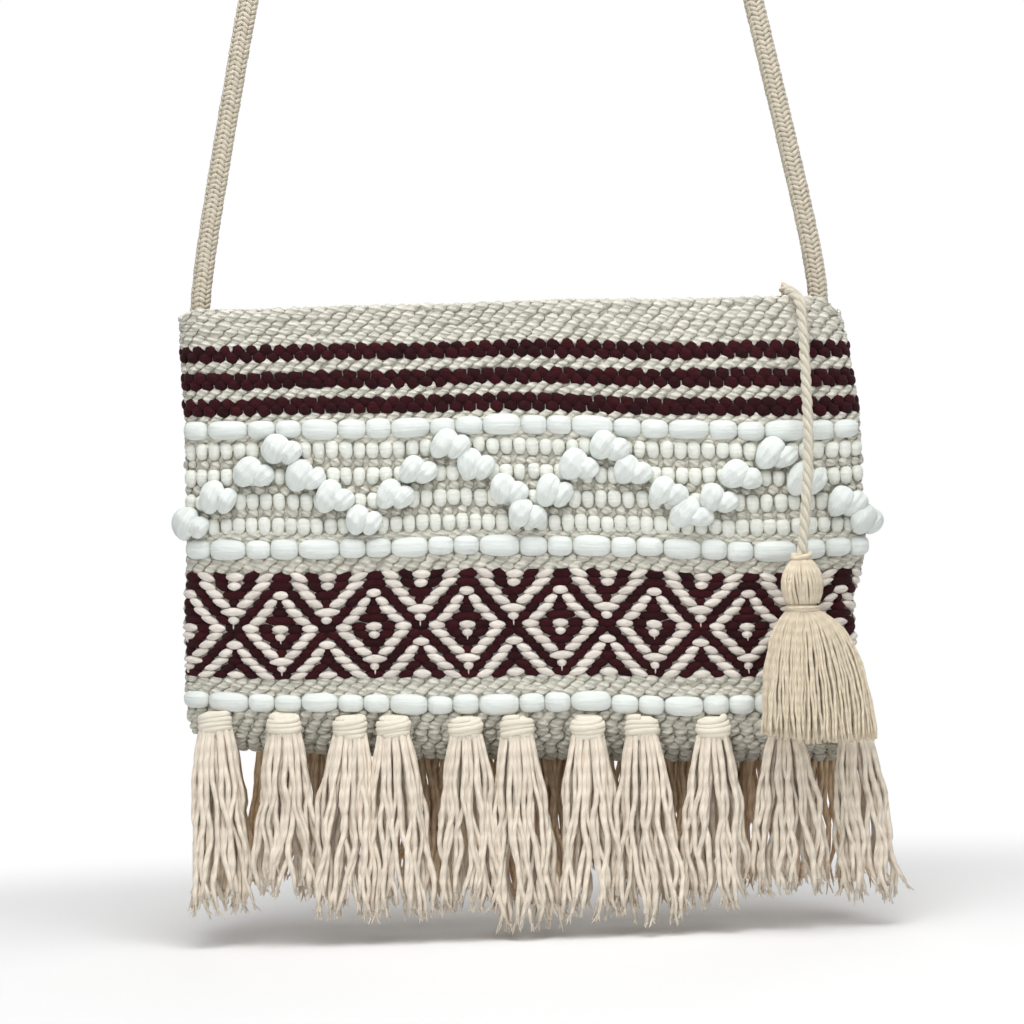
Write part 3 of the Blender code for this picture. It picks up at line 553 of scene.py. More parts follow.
def makeTasselCord():
    points = [(x, y, height - strapDrop) for x, y, height in tasselCord["route"]]
    route = smoothRoute(points, 0.0006)
    length = float(np.linalg.norm(np.diff(route, axis=0), axis=1).sum())
    tangents = np.gradient(route, axis=0)
    tangents /= np.linalg.norm(tangents, axis=1, keepdims=True)
    side = np.cross(tangents, np.array([1.0, 0.0, 0.0]))
    side /= np.linalg.norm(side, axis=1, keepdims=True)
    other = np.cross(side, tangents)
    along = np.linspace(0, length, len(route))
    lines = []
    for ply in range(tasselCord["plies"]):
        angle = 2 * math.pi * (along / tasselCord["lay"] + ply / tasselCord["plies"])
        offset = side * np.cos(angle)[:, None] + other * np.sin(angle)[:, None]
        lines.append(route + offset * tasselCord["plyOffset"])
    lines = np.stack(lines)
    radii = np.full(lines.shape[:2], tasselCord["plyRadius"])
    points, faces, yarn = sweep(lines, radii, 10, (1, 0, 0))
    tone = np.repeat(np.array([0.3, 0.55, 0.7]), len(points) // 3)
    cord = makePiece("tassel_cord_plies", points, faces, yarn, tone, cordYarn, "pull", "tassel_yarn",
                     ["tassel_cord"])
    return cord, route, length


cordPiece, cordRoute, cordLength = makeTasselCord()
print("tassel cord", round(cordLength, 3), "m")


# The pouch's surface. It is read by arc: s is the way round from the middle of a face,
# v the way down from the rim

pouch = {
    "width": 0.277, "height": 0.188, "depth": 0.032, "rimWidth": 0.272, "rimDepth": 0.0216, "wall": 0.003,
    "fullestDown": 0.115, "foldHeight": 0.028, "cornerHeight": 0.024, "cornerWidth": 0.012,
    "squareness": 5.0, "rimSquareness": 12.0, "rimBlend": 0.050, "rimTurn": 0.0009,
    "rimCorners": (0.0030, 0.0052), "rimDrop": 0.0009, "sag": 0.0157, "leftRise": 0.0013,
    "rightDroop": 0.0024, "leftPull": 0.0040, "lean": 0.0022, "bulge": 0.0034,
}


def halfWidth(down):
    share = np.clip(down / pouch["height"], 0, 1)
    width = pouch["width"] / 2 - (pouch["width"] - pouch["rimWidth"]) / 2 * (1 - share) ** 2
    corner = np.clip((down - pouch["height"] + pouch["cornerHeight"]) / pouch["cornerHeight"], 0, 1)
    return width - pouch["cornerWidth"] * (1 - np.sqrt(1 - corner ** 2))


def halfDepth(down):
    swell = np.sin(np.pi / 2 * np.clip(down / pouch["fullestDown"], 0, 1))
    depth = pouch["rimDepth"] / 2 + (pouch["depth"] - pouch["rimDepth"]) / 2 * swell
    fold = np.clip((down - pouch["height"] + pouch["foldHeight"]) / pouch["foldHeight"], 0, 1)
    return depth * np.sqrt(1 - fold ** 2)


def squareness(down):
    near = np.clip(1 - down / pouch["rimBlend"], 0, 1)
    return pouch["squareness"] + (pouch["rimSquareness"] - pouch["squareness"]) * near


def rowBend(x, v):  # the rows run a little high at the left and droop at the right, as the cloth hangs
    high = 1 - np.clip((x + 0.03) / 0.09, 0, 1)
    rise = pouch["leftRise"] * high * np.clip(v / 0.018, 0, 1) * np.clip((0.125 - v) / 0.02, 0, 1)
    droop = np.sin(np.pi * np.clip(x, 0, 0.2) / 0.2) ** 2 * np.clip((v - 0.012) / 0.035, 0, 1)
    left = np.clip(-x / 0.13, 0, 1) ** 1.3  # the lower left corner is pulled up
    rise += left * pouch["leftPull"] * (np.clip((v - 0.145) / 0.02, 0, 1) + np.clip((v - 0.175) / 0.02, 0, 1))
    rise -= pouch["rimDrop"] * high * np.clip(1 - v / 0.012, 0, 1)
    return rise - pouch["rightDroop"] * droop * (1 - 0.35 * np.clip((v - 0.13) / 0.03, 0, 1))


def sideShift(x, v):  # the middle of the pouch leans to the right, and bulges there
    hump = np.clip(v / 0.045, 0, 1) * np.clip((0.122 - v) / 0.02, 0, 1)
    return hump * (pouch["lean"] + pouch["bulge"] * np.clip((x - 0.05) / 0.08, 0, 1) ** 1.3)


class Surface:  # tables of the pouch's section at each level, by arc length
    def __init__(self, levels=300, columns=220):
        self.downs = pouch["height"] * np.sin(np.linspace(0, np.pi / 2, levels))
        depths = halfDepth(self.downs)
        self.arc = np.concatenate([[0.0], np.cumsum(np.hypot(np.diff(self.downs), np.diff(depths)))])
        share = np.sin(np.linspace(0, np.pi / 2, 400))
        xs, ys, reach, shares = [], [], [], []
        for down, depth in zip(self.downs, depths):
            x = halfWidth(down) * share
            y = depth * np.sqrt(1 - share ** squareness(down))
            arc = np.concatenate([[0.0], np.cumsum(np.hypot(np.diff(x), np.diff(y)))])
            even = np.linspace(0, arc[-1], columns)
            xs.append(np.interp(even, arc, x))
            ys.append(np.interp(even, arc, y))
            reach.append(arc[-1])
        self.xs = np.array(xs)
        self.ys = np.array(ys)
        self.reach = np.array(reach)

    def arcDown(self, down):
        return np.interp(down, self.downs, self.arc)

    def reachAt(self, v):
        return np.interp(v, self.arc, self.reach)

    def arcAcross(self, x, down):  # the way round to a given x
        row = int(np.clip(np.searchsorted(self.downs, down), 0, len(self.downs) - 1))
        even = np.linspace(0, self.reach[row], self.xs.shape[1])
        return float(np.sign(x) * np.interp(abs(x), self.xs[row], even))

    def point(self, s, v, face):
        row = np.interp(v, self.arc, np.arange(len(self.arc)))
        low = np.clip(row.astype(int), 0, len(self.arc) - 2)
        mix = row - low
        reach = self.reach[low] * (1 - mix) + self.reach[low + 1] * mix
        share = np.clip(np.abs(s) / reach, 0, 1)
        along = share * (self.xs.shape[1] - 1)
        column = np.clip(along.astype(int), 0, self.xs.shape[1] - 2)
        part = along - column

        def look(table):
            near = table[low, column] * (1 - part) + table[low, column + 1] * part
            far = table[low + 1, column] * (1 - part) + table[low + 1, column + 1] * part
            return near * (1 - mix) + far * mix

        x = np.sign(s) * look(self.xs)
        y = face * look(self.ys)
        down = self.downs[low] * (1 - mix) + self.downs[low + 1] * mix
        corner = np.clip((share - 0.905) / 0.060, 0, 1) ** 2 * np.clip(1 - v / 0.024, 0, 1) ** 2
        wave = 0.0004 * np.sin(s * 31 + 1.2) + 0.0003 * np.sin(s * 74 + v * 40)
        leftCorner, rightCorner = pouch["rimCorners"]
        z = -strapDrop - down - pouch["sag"] * x + wave - corner * np.where(s > 0, rightCorner, leftCorner)
        return np.stack([x + sideShift(x, v), y, z + rowBend(x, v)], axis=-1)

    def lifted(self, s, v, lift, face):
        # A point off the surface. Above the rim it turns over the cloth's edge
        s, v, lift = np.broadcast_arrays(s, v, lift)
        edge = np.maximum(v, 0.0)
        step = 0.0005
        right = self.point(s + step, edge, face) - self.point(s - step, edge, face)
        below = self.point(s, edge + step, face) - self.point(s, np.maximum(edge - step, 0), face)
        outward = np.cross(below, right) * -face
        outward /= np.maximum(np.linalg.norm(outward, axis=-1, keepdims=True), 1e-12)
        half = pouch["rimTurn"]
        turn = np.clip(-v / half, 0, np.pi)[..., None]
        turned = outward * np.cos(turn) + np.array([0.0, 0.0, 1.0]) * np.sin(turn)
        base = self.point(s, edge, face)
        return np.where(turn > 0, base - outward * half + turned * (half + lift[..., None]),
                        base + outward * lift[..., None])


cloth = Surface()


def layYarns(unit, unitFaces, marks, face):
    # marks: one row per float, as s, v, length, height, thickness, slant, shear, taper, lift
    s, v, length, height, thickness, slant, shear, taper, lift = [marks[:, i:i + 1] for i in range(9)]
    rng = np.random.default_rng(randomSeed + len(marks))
    a = unit[None, :, 0] * length / 2
    b = unit[None, :, 1] * height / 2 * (1 + taper * unit[None, :, 0])
    acrossCloth = s + a * np.cos(slant) - b * np.sin(slant)
    upCloth = a * np.sin(slant) + b * np.cos(slant)
    acrossCloth = acrossCloth + shear * upCloth
    points = cloth.lifted(acrossCloth, v - upCloth, lift + unit[None, :, 2] * thickness, face)
    tone = np.repeat(rng.uniform(0, 1, len(marks)), len(unit))
    rise = np.broadcast_to(unit[None, :, 2], a.shape)
    yarn = np.stack([a + tone.reshape(len(marks), -1), b, rise], axis=-1)
    faces = unitFaces if face == front else [tuple(reversed(f)) for f in unitFaces]
    return points.reshape(-1, 3), repeatFaces(faces, len(unit), len(marks)), yarn.reshape(-1, 3), tone


# Cloth body: the sheet between and under the yarns, folded over at the rim and closed at the bottom

def insideRing(down, inset, shares):
    width = halfWidth(down) - inset
    depth = halfDepth(down) - inset
    y = depth * np.sqrt(1 - np.minimum(1.0, shares) ** squareness(down))
    x = width * shares
    across = np.concatenate([-x[::-1], x[1:]])
    depths = np.concatenate([y[::-1], y[1:]])
    ring = []
    for face, x, y in ((front, across, depths), (back, -across[1:-1], depths[1:-1])):
        ring.append(np.stack([x, face * y, -strapDrop - down - pouch["sag"] * x], axis=1))
    return np.concatenate(ring)


def outsideRing(v, lift, columns):
    reach = cloth.reachAt(max(v, 0.0))
    shares = np.linspace(-1, 1, columns)
    face = cloth.lifted(shares * reach, v, lift, front)
    other = cloth.lifted(shares[::-1][1:-1] * reach, v, lift, back)
    return np.concatenate([face, other])


def closeFlat(start, columns, flip):  # quads across a flattened ring
    total = 2 * columns - 2
    faces = []
    for index in range(columns - 1):
        near = start + index
        far = start + (total - index) % total
        farNext = start + total - index - 1
        face = (near, near + 1, farNext, far) if index else (near, near + 1, farNext)
        if index == columns - 2:
            face = (near, near + 1, far)
        faces.append(tuple(reversed(face)) if flip else face)
    return faces


def makeClothBody():
    columns = 121
    half = pouch["rimTurn"]
    total = cloth.arc[-1]
    outer = list(np.linspace(total - 0.0006, 0.0, 64))
    outer += [-half * turn for turn in np.linspace(0.3, math.pi, 8)]  # over the rim
    rings = [outsideRing(v, -0.0004, columns) for v in outer]
    arcs = [np.full(2 * columns - 2, v) for v in outer]
    shares = np.sin(np.linspace(0, np.pi / 2, (columns + 1) // 2))
    for down in np.linspace(0.002, pouch["height"] - 0.012, 16):
        rings.append(insideRing(down, pouch["wall"], shares))
        arcs.append(np.full(2 * columns - 2, down))
    points = np.concatenate(rings)
    faces = [tuple(reversed(face)) for face in gridFaces(len(rings), 2 * columns - 2, True)]
    faces += closeFlat(0, columns, False)
    faces += closeFlat((len(rings) - 1) * (2 * columns - 2), columns, True)
    yarn = np.stack([points[:, 0], np.concatenate(arcs), np.full(len(points), 0.60)], axis=1)
    makePiece("pouch_cloth", points, faces, yarn, np.full(len(points), 0.5), creamYarn, "bag",
              "woven_shell", ["woven_shell"])


makeClothBody()
print("cloth body made")


# Weave: rows of slanted floats of yarn, offset by half a float from row to row

weave = {
    "pitch": 0.0056, "rowPitch": 0.0034, "length": 0.0067, "height": 0.0042, "thickness": 0.0019,
    "slant": 26.0, "lift": -0.0006, "jitter": 0.00032,
}
rimRow = {"height": 0.0030, "thickness": 0.0009, "slant": 10.0}
backRimRow = {"thickness": 0.0016, "slant": 10.0}
grainRow = {"pitch": 0.0054, "length": 0.0046, "height": 0.0042, "thickness": 0.0022, "slant": 12.0}
bottomRow = {"length": 0.0066, "height": 0.0043, "thickness": 0.0024, "slant": 34.0}
maroonRow = {
    "length": 0.0056, "height": 0.0050, "thickness": 0.0023, "slant": 0.0, "lift": -0.0005, "jitter": 0.0001,
}


def weaveRow(v, offset, rng, changes=None):
    look = {**weave, **(changes or {})}
    reach = float(cloth.reachAt(max(v, 0.0)))
    count = int(round(2 * reach / look["pitch"]))
    step = 2 * reach / count
    s = -reach + (np.arange(count + 1) + offset) * step
    s = s[(s > -reach - step * 0.3) & (s < reach + step * 0.3)]
    n = len(s)
    wander = 0.00025 * np.sin(s * 52 + v * 900) + 0.0002 * np.sin(s * 23 + v * 300)
    return np.stack([
        s + rng.normal(0, look["jitter"], n), v + wander + rng.normal(0, look["jitter"], n),
        look["length"] * rng.uniform(0.92, 1.08, n), look["height"] * rng.uniform(0.90, 1.10, n),
        look["thickness"] * rng.uniform(0.88, 1.12, n), math.radians(look["slant"]) + rng.normal(0, 0.07, n),
        np.zeros(n), np.zeros(n), np.full(n, look["lift"]),
    ], axis=1)


stripeDowns = (0.0199, 0.0311, 0.0419)
rovingDowns = (0.0515, 0.1005, 0.1646)
pipDowns = (0.0601, 0.0708, 0.0810, 0.0911)
creamDowns = (
    0.0008, 0.0038, 0.0070, 0.0101, 0.0133, 0.0161, 0.0243, 0.0267, 0.0355, 0.0377, 0.0466, 0.0487,
    0.0548, 0.0570, 0.0950, 0.0965, 0.1055, 0.1083, 0.1547, 0.1580, 0.1604,
)
grainDowns = (0.0655, 0.0760, 0.0861)
pips = {"pitch": 0.0054, "width": 0.0054, "height": 0.0076, "thickness": 0.0033, "lift": -0.0004}


def makeCreamWeave():
    rng = np.random.default_rng(randomSeed + 1)
    rows = [weaveRow(-0.0012, 0.5, rng, rimRow)]
    for number, down in enumerate(creamDowns):
        isTight = 0.056 < down < 0.096 or 0.02 < down < 0.05
        height = weave["height"] * (0.80 if isTight else 1.0)
        rows.append(weaveRow(float(cloth.arcDown(down)), 0.5 * (number % 2), rng, {"height": height}))
    for number, down in enumerate(grainDowns):
        rows.append(weaveRow(float(cloth.arcDown(down)), 0.5 * (number % 2), rng, grainRow))
    v = float(cloth.arcDown(0.1666))
    number = 0
    while v + weave["rowPitch"] < cloth.arc[-1]:
        v += weave["rowPitch"]
        number += 1
        rows.append(weaveRow(v, 0.5 * (number % 2), rng, bottomRow))
    unit, faces = pillow(10, 4, 2.3)
    piece = layYarns(unit, faces, np.concatenate(rows), front)
    makePiece("weave_front", *piece, creamYarn, "bag", "woven_shell")
    rows = [weaveRow(-0.0008, 0.5, rng, backRimRow)]
    v = 0.0022
    number = 0
    while v < cloth.arc[-1]:
        rows.append(weaveRow(v, 0.5 * (number % 2), rng))
        v += weave["rowPitch"]
        number += 1
    unit, faces = pillow(8, 2, 2.3)
    piece = layYarns(unit, faces, np.concatenate(rows), back)
    makePiece("weave_back", *piece, creamYarn, "bag", "woven_shell")


def makeMaroonStripes():
    rng = np.random.default_rng(randomSeed + 2)
    rows = []
    for down in stripeDowns:
        for number, offset in ((0, -0.0014), (1, 0.0014)):
            v = float(cloth.arcDown(down + offset))
            rows.append(weaveRow(v, 0.5 * number, rng, maroonRow))
    unit, faces = pillow(16, 4, 4.0)
    piece = layYarns(unit, faces, np.concatenate(rows), front)
    makePiece("maroon_stripes", *piece, maroonYarn, "bag", "maroon_yarn",
              ["maroon_stripe_1", "maroon_stripe_2", "maroon_stripe_3"])


makeCreamWeave()
makeMaroonStripes()
print("weave and stripes made")


# Diamond band: floats of two yarns, cut by lines at even distances from the diamonds' middles

band = {
    "down": 0.1316, "height": 0.0435, "period": 0.0383, "picks": 13, "shift": -0.0024,
    "levels": (0.16, 0.475, 0.80, 1.06, 1.40, 1.69), "slope": 0.163, "lag": 0.6, "slant": 17.0,
    "mostAway": 0.87, "overlap": 0.0012, "shortest": 0.0012, "shear": 0.25,
    "maroon": (1.30, 0.00187, -0.0004), "cream": (1.16, 0.00253, -0.0002),
    "tails": ((0, 7.5), (0, 11.7), (1, 5.8), (1, 1.2)),
    "tail": (0.0008, 0.0032, 0.0026, 0.0, 0.0, 0.0, -0.0004),
}


def bandRuns(away):
    # Along one pick, the stretches of each yarn in shares of half a period from a diamond's middle
    levels = list(band["levels"])
    if -0.05 < levels[1] - away < 0.065:  # maroon runs end in a narrow point
        levels[1] = away + 0.065
    if 0.935 < levels[4] - away < 1.05:
        levels[4] = away + 0.935
    edges = [0.0] + [level - away for level in levels if 0.0 < level - away < 1.0] + [1.0]
    passed = sum(1 for level in levels if level <= away)
    runs = enumerate(zip(edges, edges[1:]))
    return [(start, end, (passed + order) % 2 == 1) for order, (start, end) in runs]


def pickDown(row):
    return band["down"] + ((row + 0.5) / band["picks"] - 0.5) * band["height"]


def makeBand():
    rng = np.random.default_rng(randomSeed + 3)
    half = band["period"] / 2
    pick = band["height"] / band["picks"]
    middleRow = (band["picks"] - 1) / 2
    marks = {True: [], False: []}
    for row in range(band["picks"]):
        down = pickDown(row)
        below = row > middleRow
        away = (row - middleRow - band["lag"]) * band["slope"] if below else (middleRow - row) * band["slope"]
        away = min(away, band["mostAway"])
        v = float(cloth.arcDown(down))
        reach = float(cloth.reachAt(v))
        lean = 0 if row == middleRow else (1 if below else -1) * math.radians(band["slant"])
        for cell in range(-5, 5):
            middle = (cell + 0.5) * band["period"] + band["shift"]
            for start, end, isMaroon in bandRuns(away):
                if start == 0.0:
                    spans = [(middle - end * half, middle + end * half, 0.0)]
                elif end == 1.0:
                    spans = [(middle + start * half, middle + (2 - start) * half, 0.0)]
                else:
                    spans = [(middle - end * half, middle - start * half, -lean),
                             (middle + start * half, middle + end * half, lean)]
                for low, high, turn in spans:
                    low = max(low, -halfWidth(down))
                    high = min(high, halfWidth(down))
                    if high - low < band["shortest"]:
                        continue
                    s = cloth.arcAcross((low + high) / 2, down)
                    length = cloth.arcAcross(high, down) - cloth.arcAcross(low, down) + band["overlap"]
                    tall, thick, lift = band["maroon" if isMaroon else "cream"]
                    shear = band["shear"] * math.copysign(1, turn) if turn else 0.0
                    marks[isMaroon].append((
                        np.clip(s, -reach, reach) + rng.normal(0, 0.00012), v + rng.normal(0, 0.00010),
                        length * rng.uniform(0.97, 1.06), pick * tall * rng.uniform(0.95, 1.05),
                        thick * rng.uniform(0.9, 1.1), turn + rng.normal(0, 0.03), shear, 0.0, lift))
            for side, rowPlace in band["tails"]:  # tails of stitches at the points
                if int(rowPlace) == row and rng.uniform() < 0.8:
                    x = middle + side * half
                    if abs(x) < halfWidth(down) - 0.001:
                        tailPlace = float(cloth.arcDown(pickDown(rowPlace)))
                        marks[False].append((cloth.arcAcross(x, down), tailPlace, *band["tail"]))
    piece = layYarns(*pillow(12, 4, 2.0), np.array(marks[True]), front)
    makePiece("band_maroon_floats", *piece, maroonYarn, "bag", "diamond_band", ["diamond_band"])
    piece = layYarns(*pillow(14, 5, 1.62), np.array(marks[False]), front)
    makePiece("band_cream_floats", *piece, bandCreamYarn, "bag", "diamond_band")


makeBand()
print("diamond band made")


# Thick roving rows, in beads pinched where the warp crosses them

roving = {
    "long": 0.0161, "short": 0.0108, "height": 0.0086, "thickness": 0.0052, "overlap": 0.0005,
    "lift": -0.0004,
}


def makeRovingRows():
    rng = np.random.default_rng(randomSeed + 4)
    marks = []
    for down in rovingDowns:
        v = float(cloth.arcDown(down))
        reach = float(cloth.reachAt(v)) - 0.0025
        s = -reach
        index = 0
        while s + roving["short"] / 2 < reach:
            bead = min((roving["short"], roving["long"], roving["short"])[index % 3], reach - s)
            bead = bead * rng.uniform(0.93, 1.07)
            height = roving["height"] * (1.03 if bead > 0.013 else 0.97) * rng.uniform(0.95, 1.05)
            marks.append((s + bead / 2, v + rng.normal(0, 0.0002), bead + roving["overlap"], height,
                          roving["thickness"] * rng.uniform(0.92, 1.08), rng.normal(0, 0.02), 0.0,
                          rng.normal(0, 0.03), roving["lift"]))
            s += bead
            index += 1
    piece = layYarns(*pillow(24, 8, 3.0), np.array(marks), front)
    makePiece("roving_beads", *piece, rovingYarn, "bag", "white_roving",
              ["roving_row_1", "roving_row_2", "roving_row_3"])


makeRovingRows()


# Short roving pips and the pulled loops, each a hairpin of two fat lobes

loops = {
    "places": ((195, 526), (220, 499), (255, 474), (283, 451), (306, 477), (335, 497), (364, 520), (395, 495),
               (418, 471), (450, 446), (476, 467), (509, 492), (527, 515), (554, 493), (579, 467), (609, 448),
               (632, 472), (668, 494), (691, 515), (718, 500), (741, 476), (776, 454), (806, 479), (844, 502),
               (865, 520)),
    "length": 0.0126, "width": 0.0102, "thickness": 0.0082, "ripple": 0.0005,
    "lobes": ((-0.0026, 0.0007, 62.0, 1.10), (0.0034, -0.0010, 44.0, 0.86)),
}


def lobe(sides, rings):
    # A fat yarn end, thin at its tail and round at its head, lying on the cloth
    angles = 2 * np.pi * np.arange(sides) / sides
    points = [np.array([[-1.0, 0.0, 0.28]])]
    for ring in range(1, rings):
        a = -math.cos(math.pi * ring / rings)
        size = (1 - abs(a) ** 2.3) ** 0.5 * (0.88 + 0.12 * a)
        rise = 0.30 + 0.20 * (1 - a * a)
        around = [np.full(sides, a), size * np.cos(angles), rise + 0.5 * size * np.sin(angles)]
        points.append(np.stack(around, axis=1))
    points.append(np.array([[1.0, 0.0, 0.36]]))
    faces = gridFaces(rings - 1, sides, True, 1)
    last = 1 + (rings - 2) * sides
    for side in range(sides):
        following = (side + 1) % sides
        faces.append((0, 1 + following, 1 + side))
        faces.append((last + side, last + following, last + sides))
    return np.concatenate(points), faces


def makePipsAndLoops():
    rng = np.random.default_rng(randomSeed + 5)
    marks = []
    spots = []
    for px, py in loops["places"]:
        x, down = fromPhoto(px, py)
        down -= pouch["sag"] * x
        down += float(rowBend(x, cloth.arcDown(down)))
        v = float(cloth.arcDown(down))
        x -= float(sideShift(x, v))
        reach = float(cloth.reachAt(v))
        s = cloth.arcAcross(x, down) if abs(x) < halfWidth(down) - 0.002 else math.copysign(reach - 0.004, x)
        spots.append((s, v))
    for number, down in enumerate(pipDowns):
        v = float(cloth.arcDown(down))
        reach = float(cloth.reachAt(v)) - 0.002
        count = int(2 * reach / pips["pitch"])
        for index in range(count):
            s = -reach + (index + 0.5) * 2 * reach / count
            marks.append((s + rng.normal(0, 0.00015), v + rng.normal(0, 0.0002),
                          pips["width"] * rng.uniform(0.94, 1.10), pips["height"] * rng.uniform(0.93, 1.07),
                          pips["thickness"] * rng.uniform(0.9, 1.1), rng.normal(0, 0.06), 0.0, 0.0,
                          pips["lift"]))
    unit, faces = pillow(16, 5, 2.6)
    unit[:, 0] *= 1 + 0.12 * unit[:, 1]
    makePiece("roving_pips", *layYarns(unit, faces, np.array(marks), front), pipYarn, "bag", "white_roving",
              ["loop_row_1", "loop_row_2", "loop_row_3", "loop_row_4"])
    marks = []
    for s, v in spots:
        turn = rng.normal(0, 9)
        for aside, up, angle, size in loops["lobes"]:
            angle = math.radians(angle + turn + rng.normal(0, 6))
            length = loops["length"] * size * rng.uniform(0.90, 1.08)
            marks.append((s + aside, v - up, length, loops["width"] * size * rng.uniform(0.92, 1.10),
                          loops["thickness"] * rng.uniform(0.90, 1.08), angle, 0.0, 0.0, 0.0006))
    unit, faces = lobe(26, 20)
    points, faces, yarn, tone = layYarns(unit, faces, np.array(marks), front)
    x, y, z = points.T
    wave = np.sin(x * 950 + tone * 40) * np.sin(z * 830 + tone * 60)
    wave += 0.6 * np.sin((x - z) * 1500 + tone * 90)
    points[:, 1] -= wave * loops["ripple"] * np.clip(yarn[:, 2] * 2 - 0.4, 0, 1)
    makePiece("pulled_loops", points, faces, yarn, tone, rovingYarn, "bag", "white_roving")


makePipsAndLoops()
print("roving, pips and loops made")


# Fringe tassels: strands folded over a cloth loop, wrapped, and hanging in waves to frayed ends

fringe = {
    "count": 11, "pitch": 0.0254, "down": 0.1740, "wrapWidth": 0.0142, "wrapDepth": 0.0094,
    "wrapHeight": 0.0100, "wrapTurns": 4, "wrapThread": 0.00142, "gap": 0.0003, "shoulder": 0.0020,
    "sway": (0.0005, 0.0036, 0.0053, -0.0023, 0.0018, -0.0025, 0.0010, -0.0022, 0.0015, 0.0040, 0.0005),
    "reach": (0.0690, 0.0610, 0.0690, 0.0690, 0.0660, 0.0730, 0.0690, 0.0700, 0.0645, 0.0600, 0.0640),
    "nudge": (0, 0, 0, 0, 0, 0, 0, 0, 0, 0.0015, 0.0085),
    "lean": (0, 0.0015, -0.0020, 0, 0, 0, 0, 0, 0, 0.0030, 0.0045),
    "spread": (1.05, 1.1, 1.05, 1.15, 1.05, 1.1, 1.1, 1.15, 1.15, 1.35, 1.05),
    "backSpread": (0.85, 0.95, 1.5, 1.5, 1.5, 1.5, 1.5, 1.5, 1.5, 1.5, 1.3),
    "strands": 34, "strandRadius": 0.00110, "stations": 18, "skirtWidth": 0.0245, "skirtDepth": 0.0125,
    "clumps": 6, "clumping": 0.7,
    "front": {"sides": 7, "fibre": 0.00048, "perStrand": 4, "endLength": 0.0042},
    "behind": {"sides": 6, "fibre": 0.00042, "perStrand": 2, "endLength": 0.0055},
}


def clothDepth(x, down):
    reach = min(1.0, abs(x) / float(halfWidth(down)))
    return float(halfDepth(down)) * math.sqrt(1 - reach ** float(squareness(down)))


def hangStrands(rng, middle, top, neck, skirt, length, look, drift=0.0, unevenness=0.07):
    # Lines of strands that leave an oval neck, spread at once and hang in slow waves
    count = look["strands"]
    outer = int(count * 0.72)
    order = np.arange(count)
    angle = 2 * np.pi * np.where(order < outer, order / outer, 0.618 * order) + rng.normal(0, 0.08, count)
    size = np.where(order < outer, 1.0, 0.5) * rng.uniform(0.86, 1.04, count)
    t = np.linspace(0, 1, look["stations"])
    spread = 1 - (1 - t) ** 3.2
    spread = 0.55 * spread + 0.45 * t
    lengths = length * (1 + rng.normal(0, unevenness, count).clip(-0.16, 0.05))
    ux = np.cos(angle) * size
    uy = np.sin(angle) * size
    width = neck[0] / 2 * (1 - spread) + skirt[0] / 2 * spread
    depth = neck[1] / 2 * (1 - spread) + skirt[1] / 2 * spread
    phase = rng.uniform(0, 2 * np.pi, (4, count, 1))
    swing = np.clip(t * 2.2, 0, 1)
    grow = 0.35 + 0.9 * t
    turn = 2 * np.pi * t
    waveX = 0.0017 * grow * np.sin(1.25 * turn + phase[0]) + 0.0005 * np.sin(3.3 * turn + phase[1])
    waveY = 0.0010 * np.sin(1.4 * turn + phase[2]) + 0.0004 * np.sin(3.7 * turn + phase[3])
    straying = rng.normal(0, 0.0017, (count, 1)) * t ** 2
    clump = np.floor(((angle + rng.uniform(0, 6)) / (2 * np.pi) % 1) * look["clumps"]).astype(int)

    def gather(places):  # lower down, the strands of a clump draw together
        middles = np.array([places[clump == group].mean() for group in clump])
        return places[:, None] + (middles - places)[:, None] * (look["clumping"] * t ** 1.5)

    x = middle[0] + gather(ux) * width + waveX * swing + drift * t + straying
    y = middle[1] + gather(uy) * depth + waveY * swing
    z = top - lengths[:, None] * t
    return np.stack([x, y, np.broadcast_to(z, x.shape)], axis=-1)


def frayedEnds(rng, lines, radius, perStrand, length):
    # Loose fibres that carry on from each strand's end and part
    ends = np.repeat(lines[:, -1], perStrand, axis=0)
    heading = np.repeat(lines[:, -1] - lines[:, -3], perStrand, axis=0)
    heading /= np.linalg.norm(heading, axis=1, keepdims=True)
    count = len(ends)
    lengths = length * rng.uniform(0.5, 1.2, (count, 1, 1))
    t = np.linspace(0, 1, 5)[None, :, None]
    aside = rng.normal(0, 0.20, (count, 1, 3))
    aside[..., 2] *= 0.3
    curl = rng.normal(0, 0.30, (count, 1, 3))
    path = ends[:, None] + (heading[:, None] * t + aside * t ** 1.4 + curl * np.sin(t * 5) * 0.14) * lengths
    path[:, 0] -= heading * 0.0015
    radii = np.repeat(radius * np.array([[1.0, 0.95, 0.8, 0.6, 0.3]]), count, axis=0)
    return path, radii


def strandPart(rng, lines, radius, sides, towards=(0, 1, 0), endSize=0.75):
    count, stations = lines.shape[:2]
    t = np.linspace(0, 1, stations)
    profile = 1 - (1 - endSize) * np.clip((t - 0.88) / 0.12, 0, 1)
    radii = radius * rng.uniform(0.86, 1.14, (count, 1)) * profile
    points, faces, yarn = sweep(lines, radii, sides, towards)
    tone = np.repeat(rng.uniform(0, 1, count), stations * sides)
    return points, faces, yarn, tone


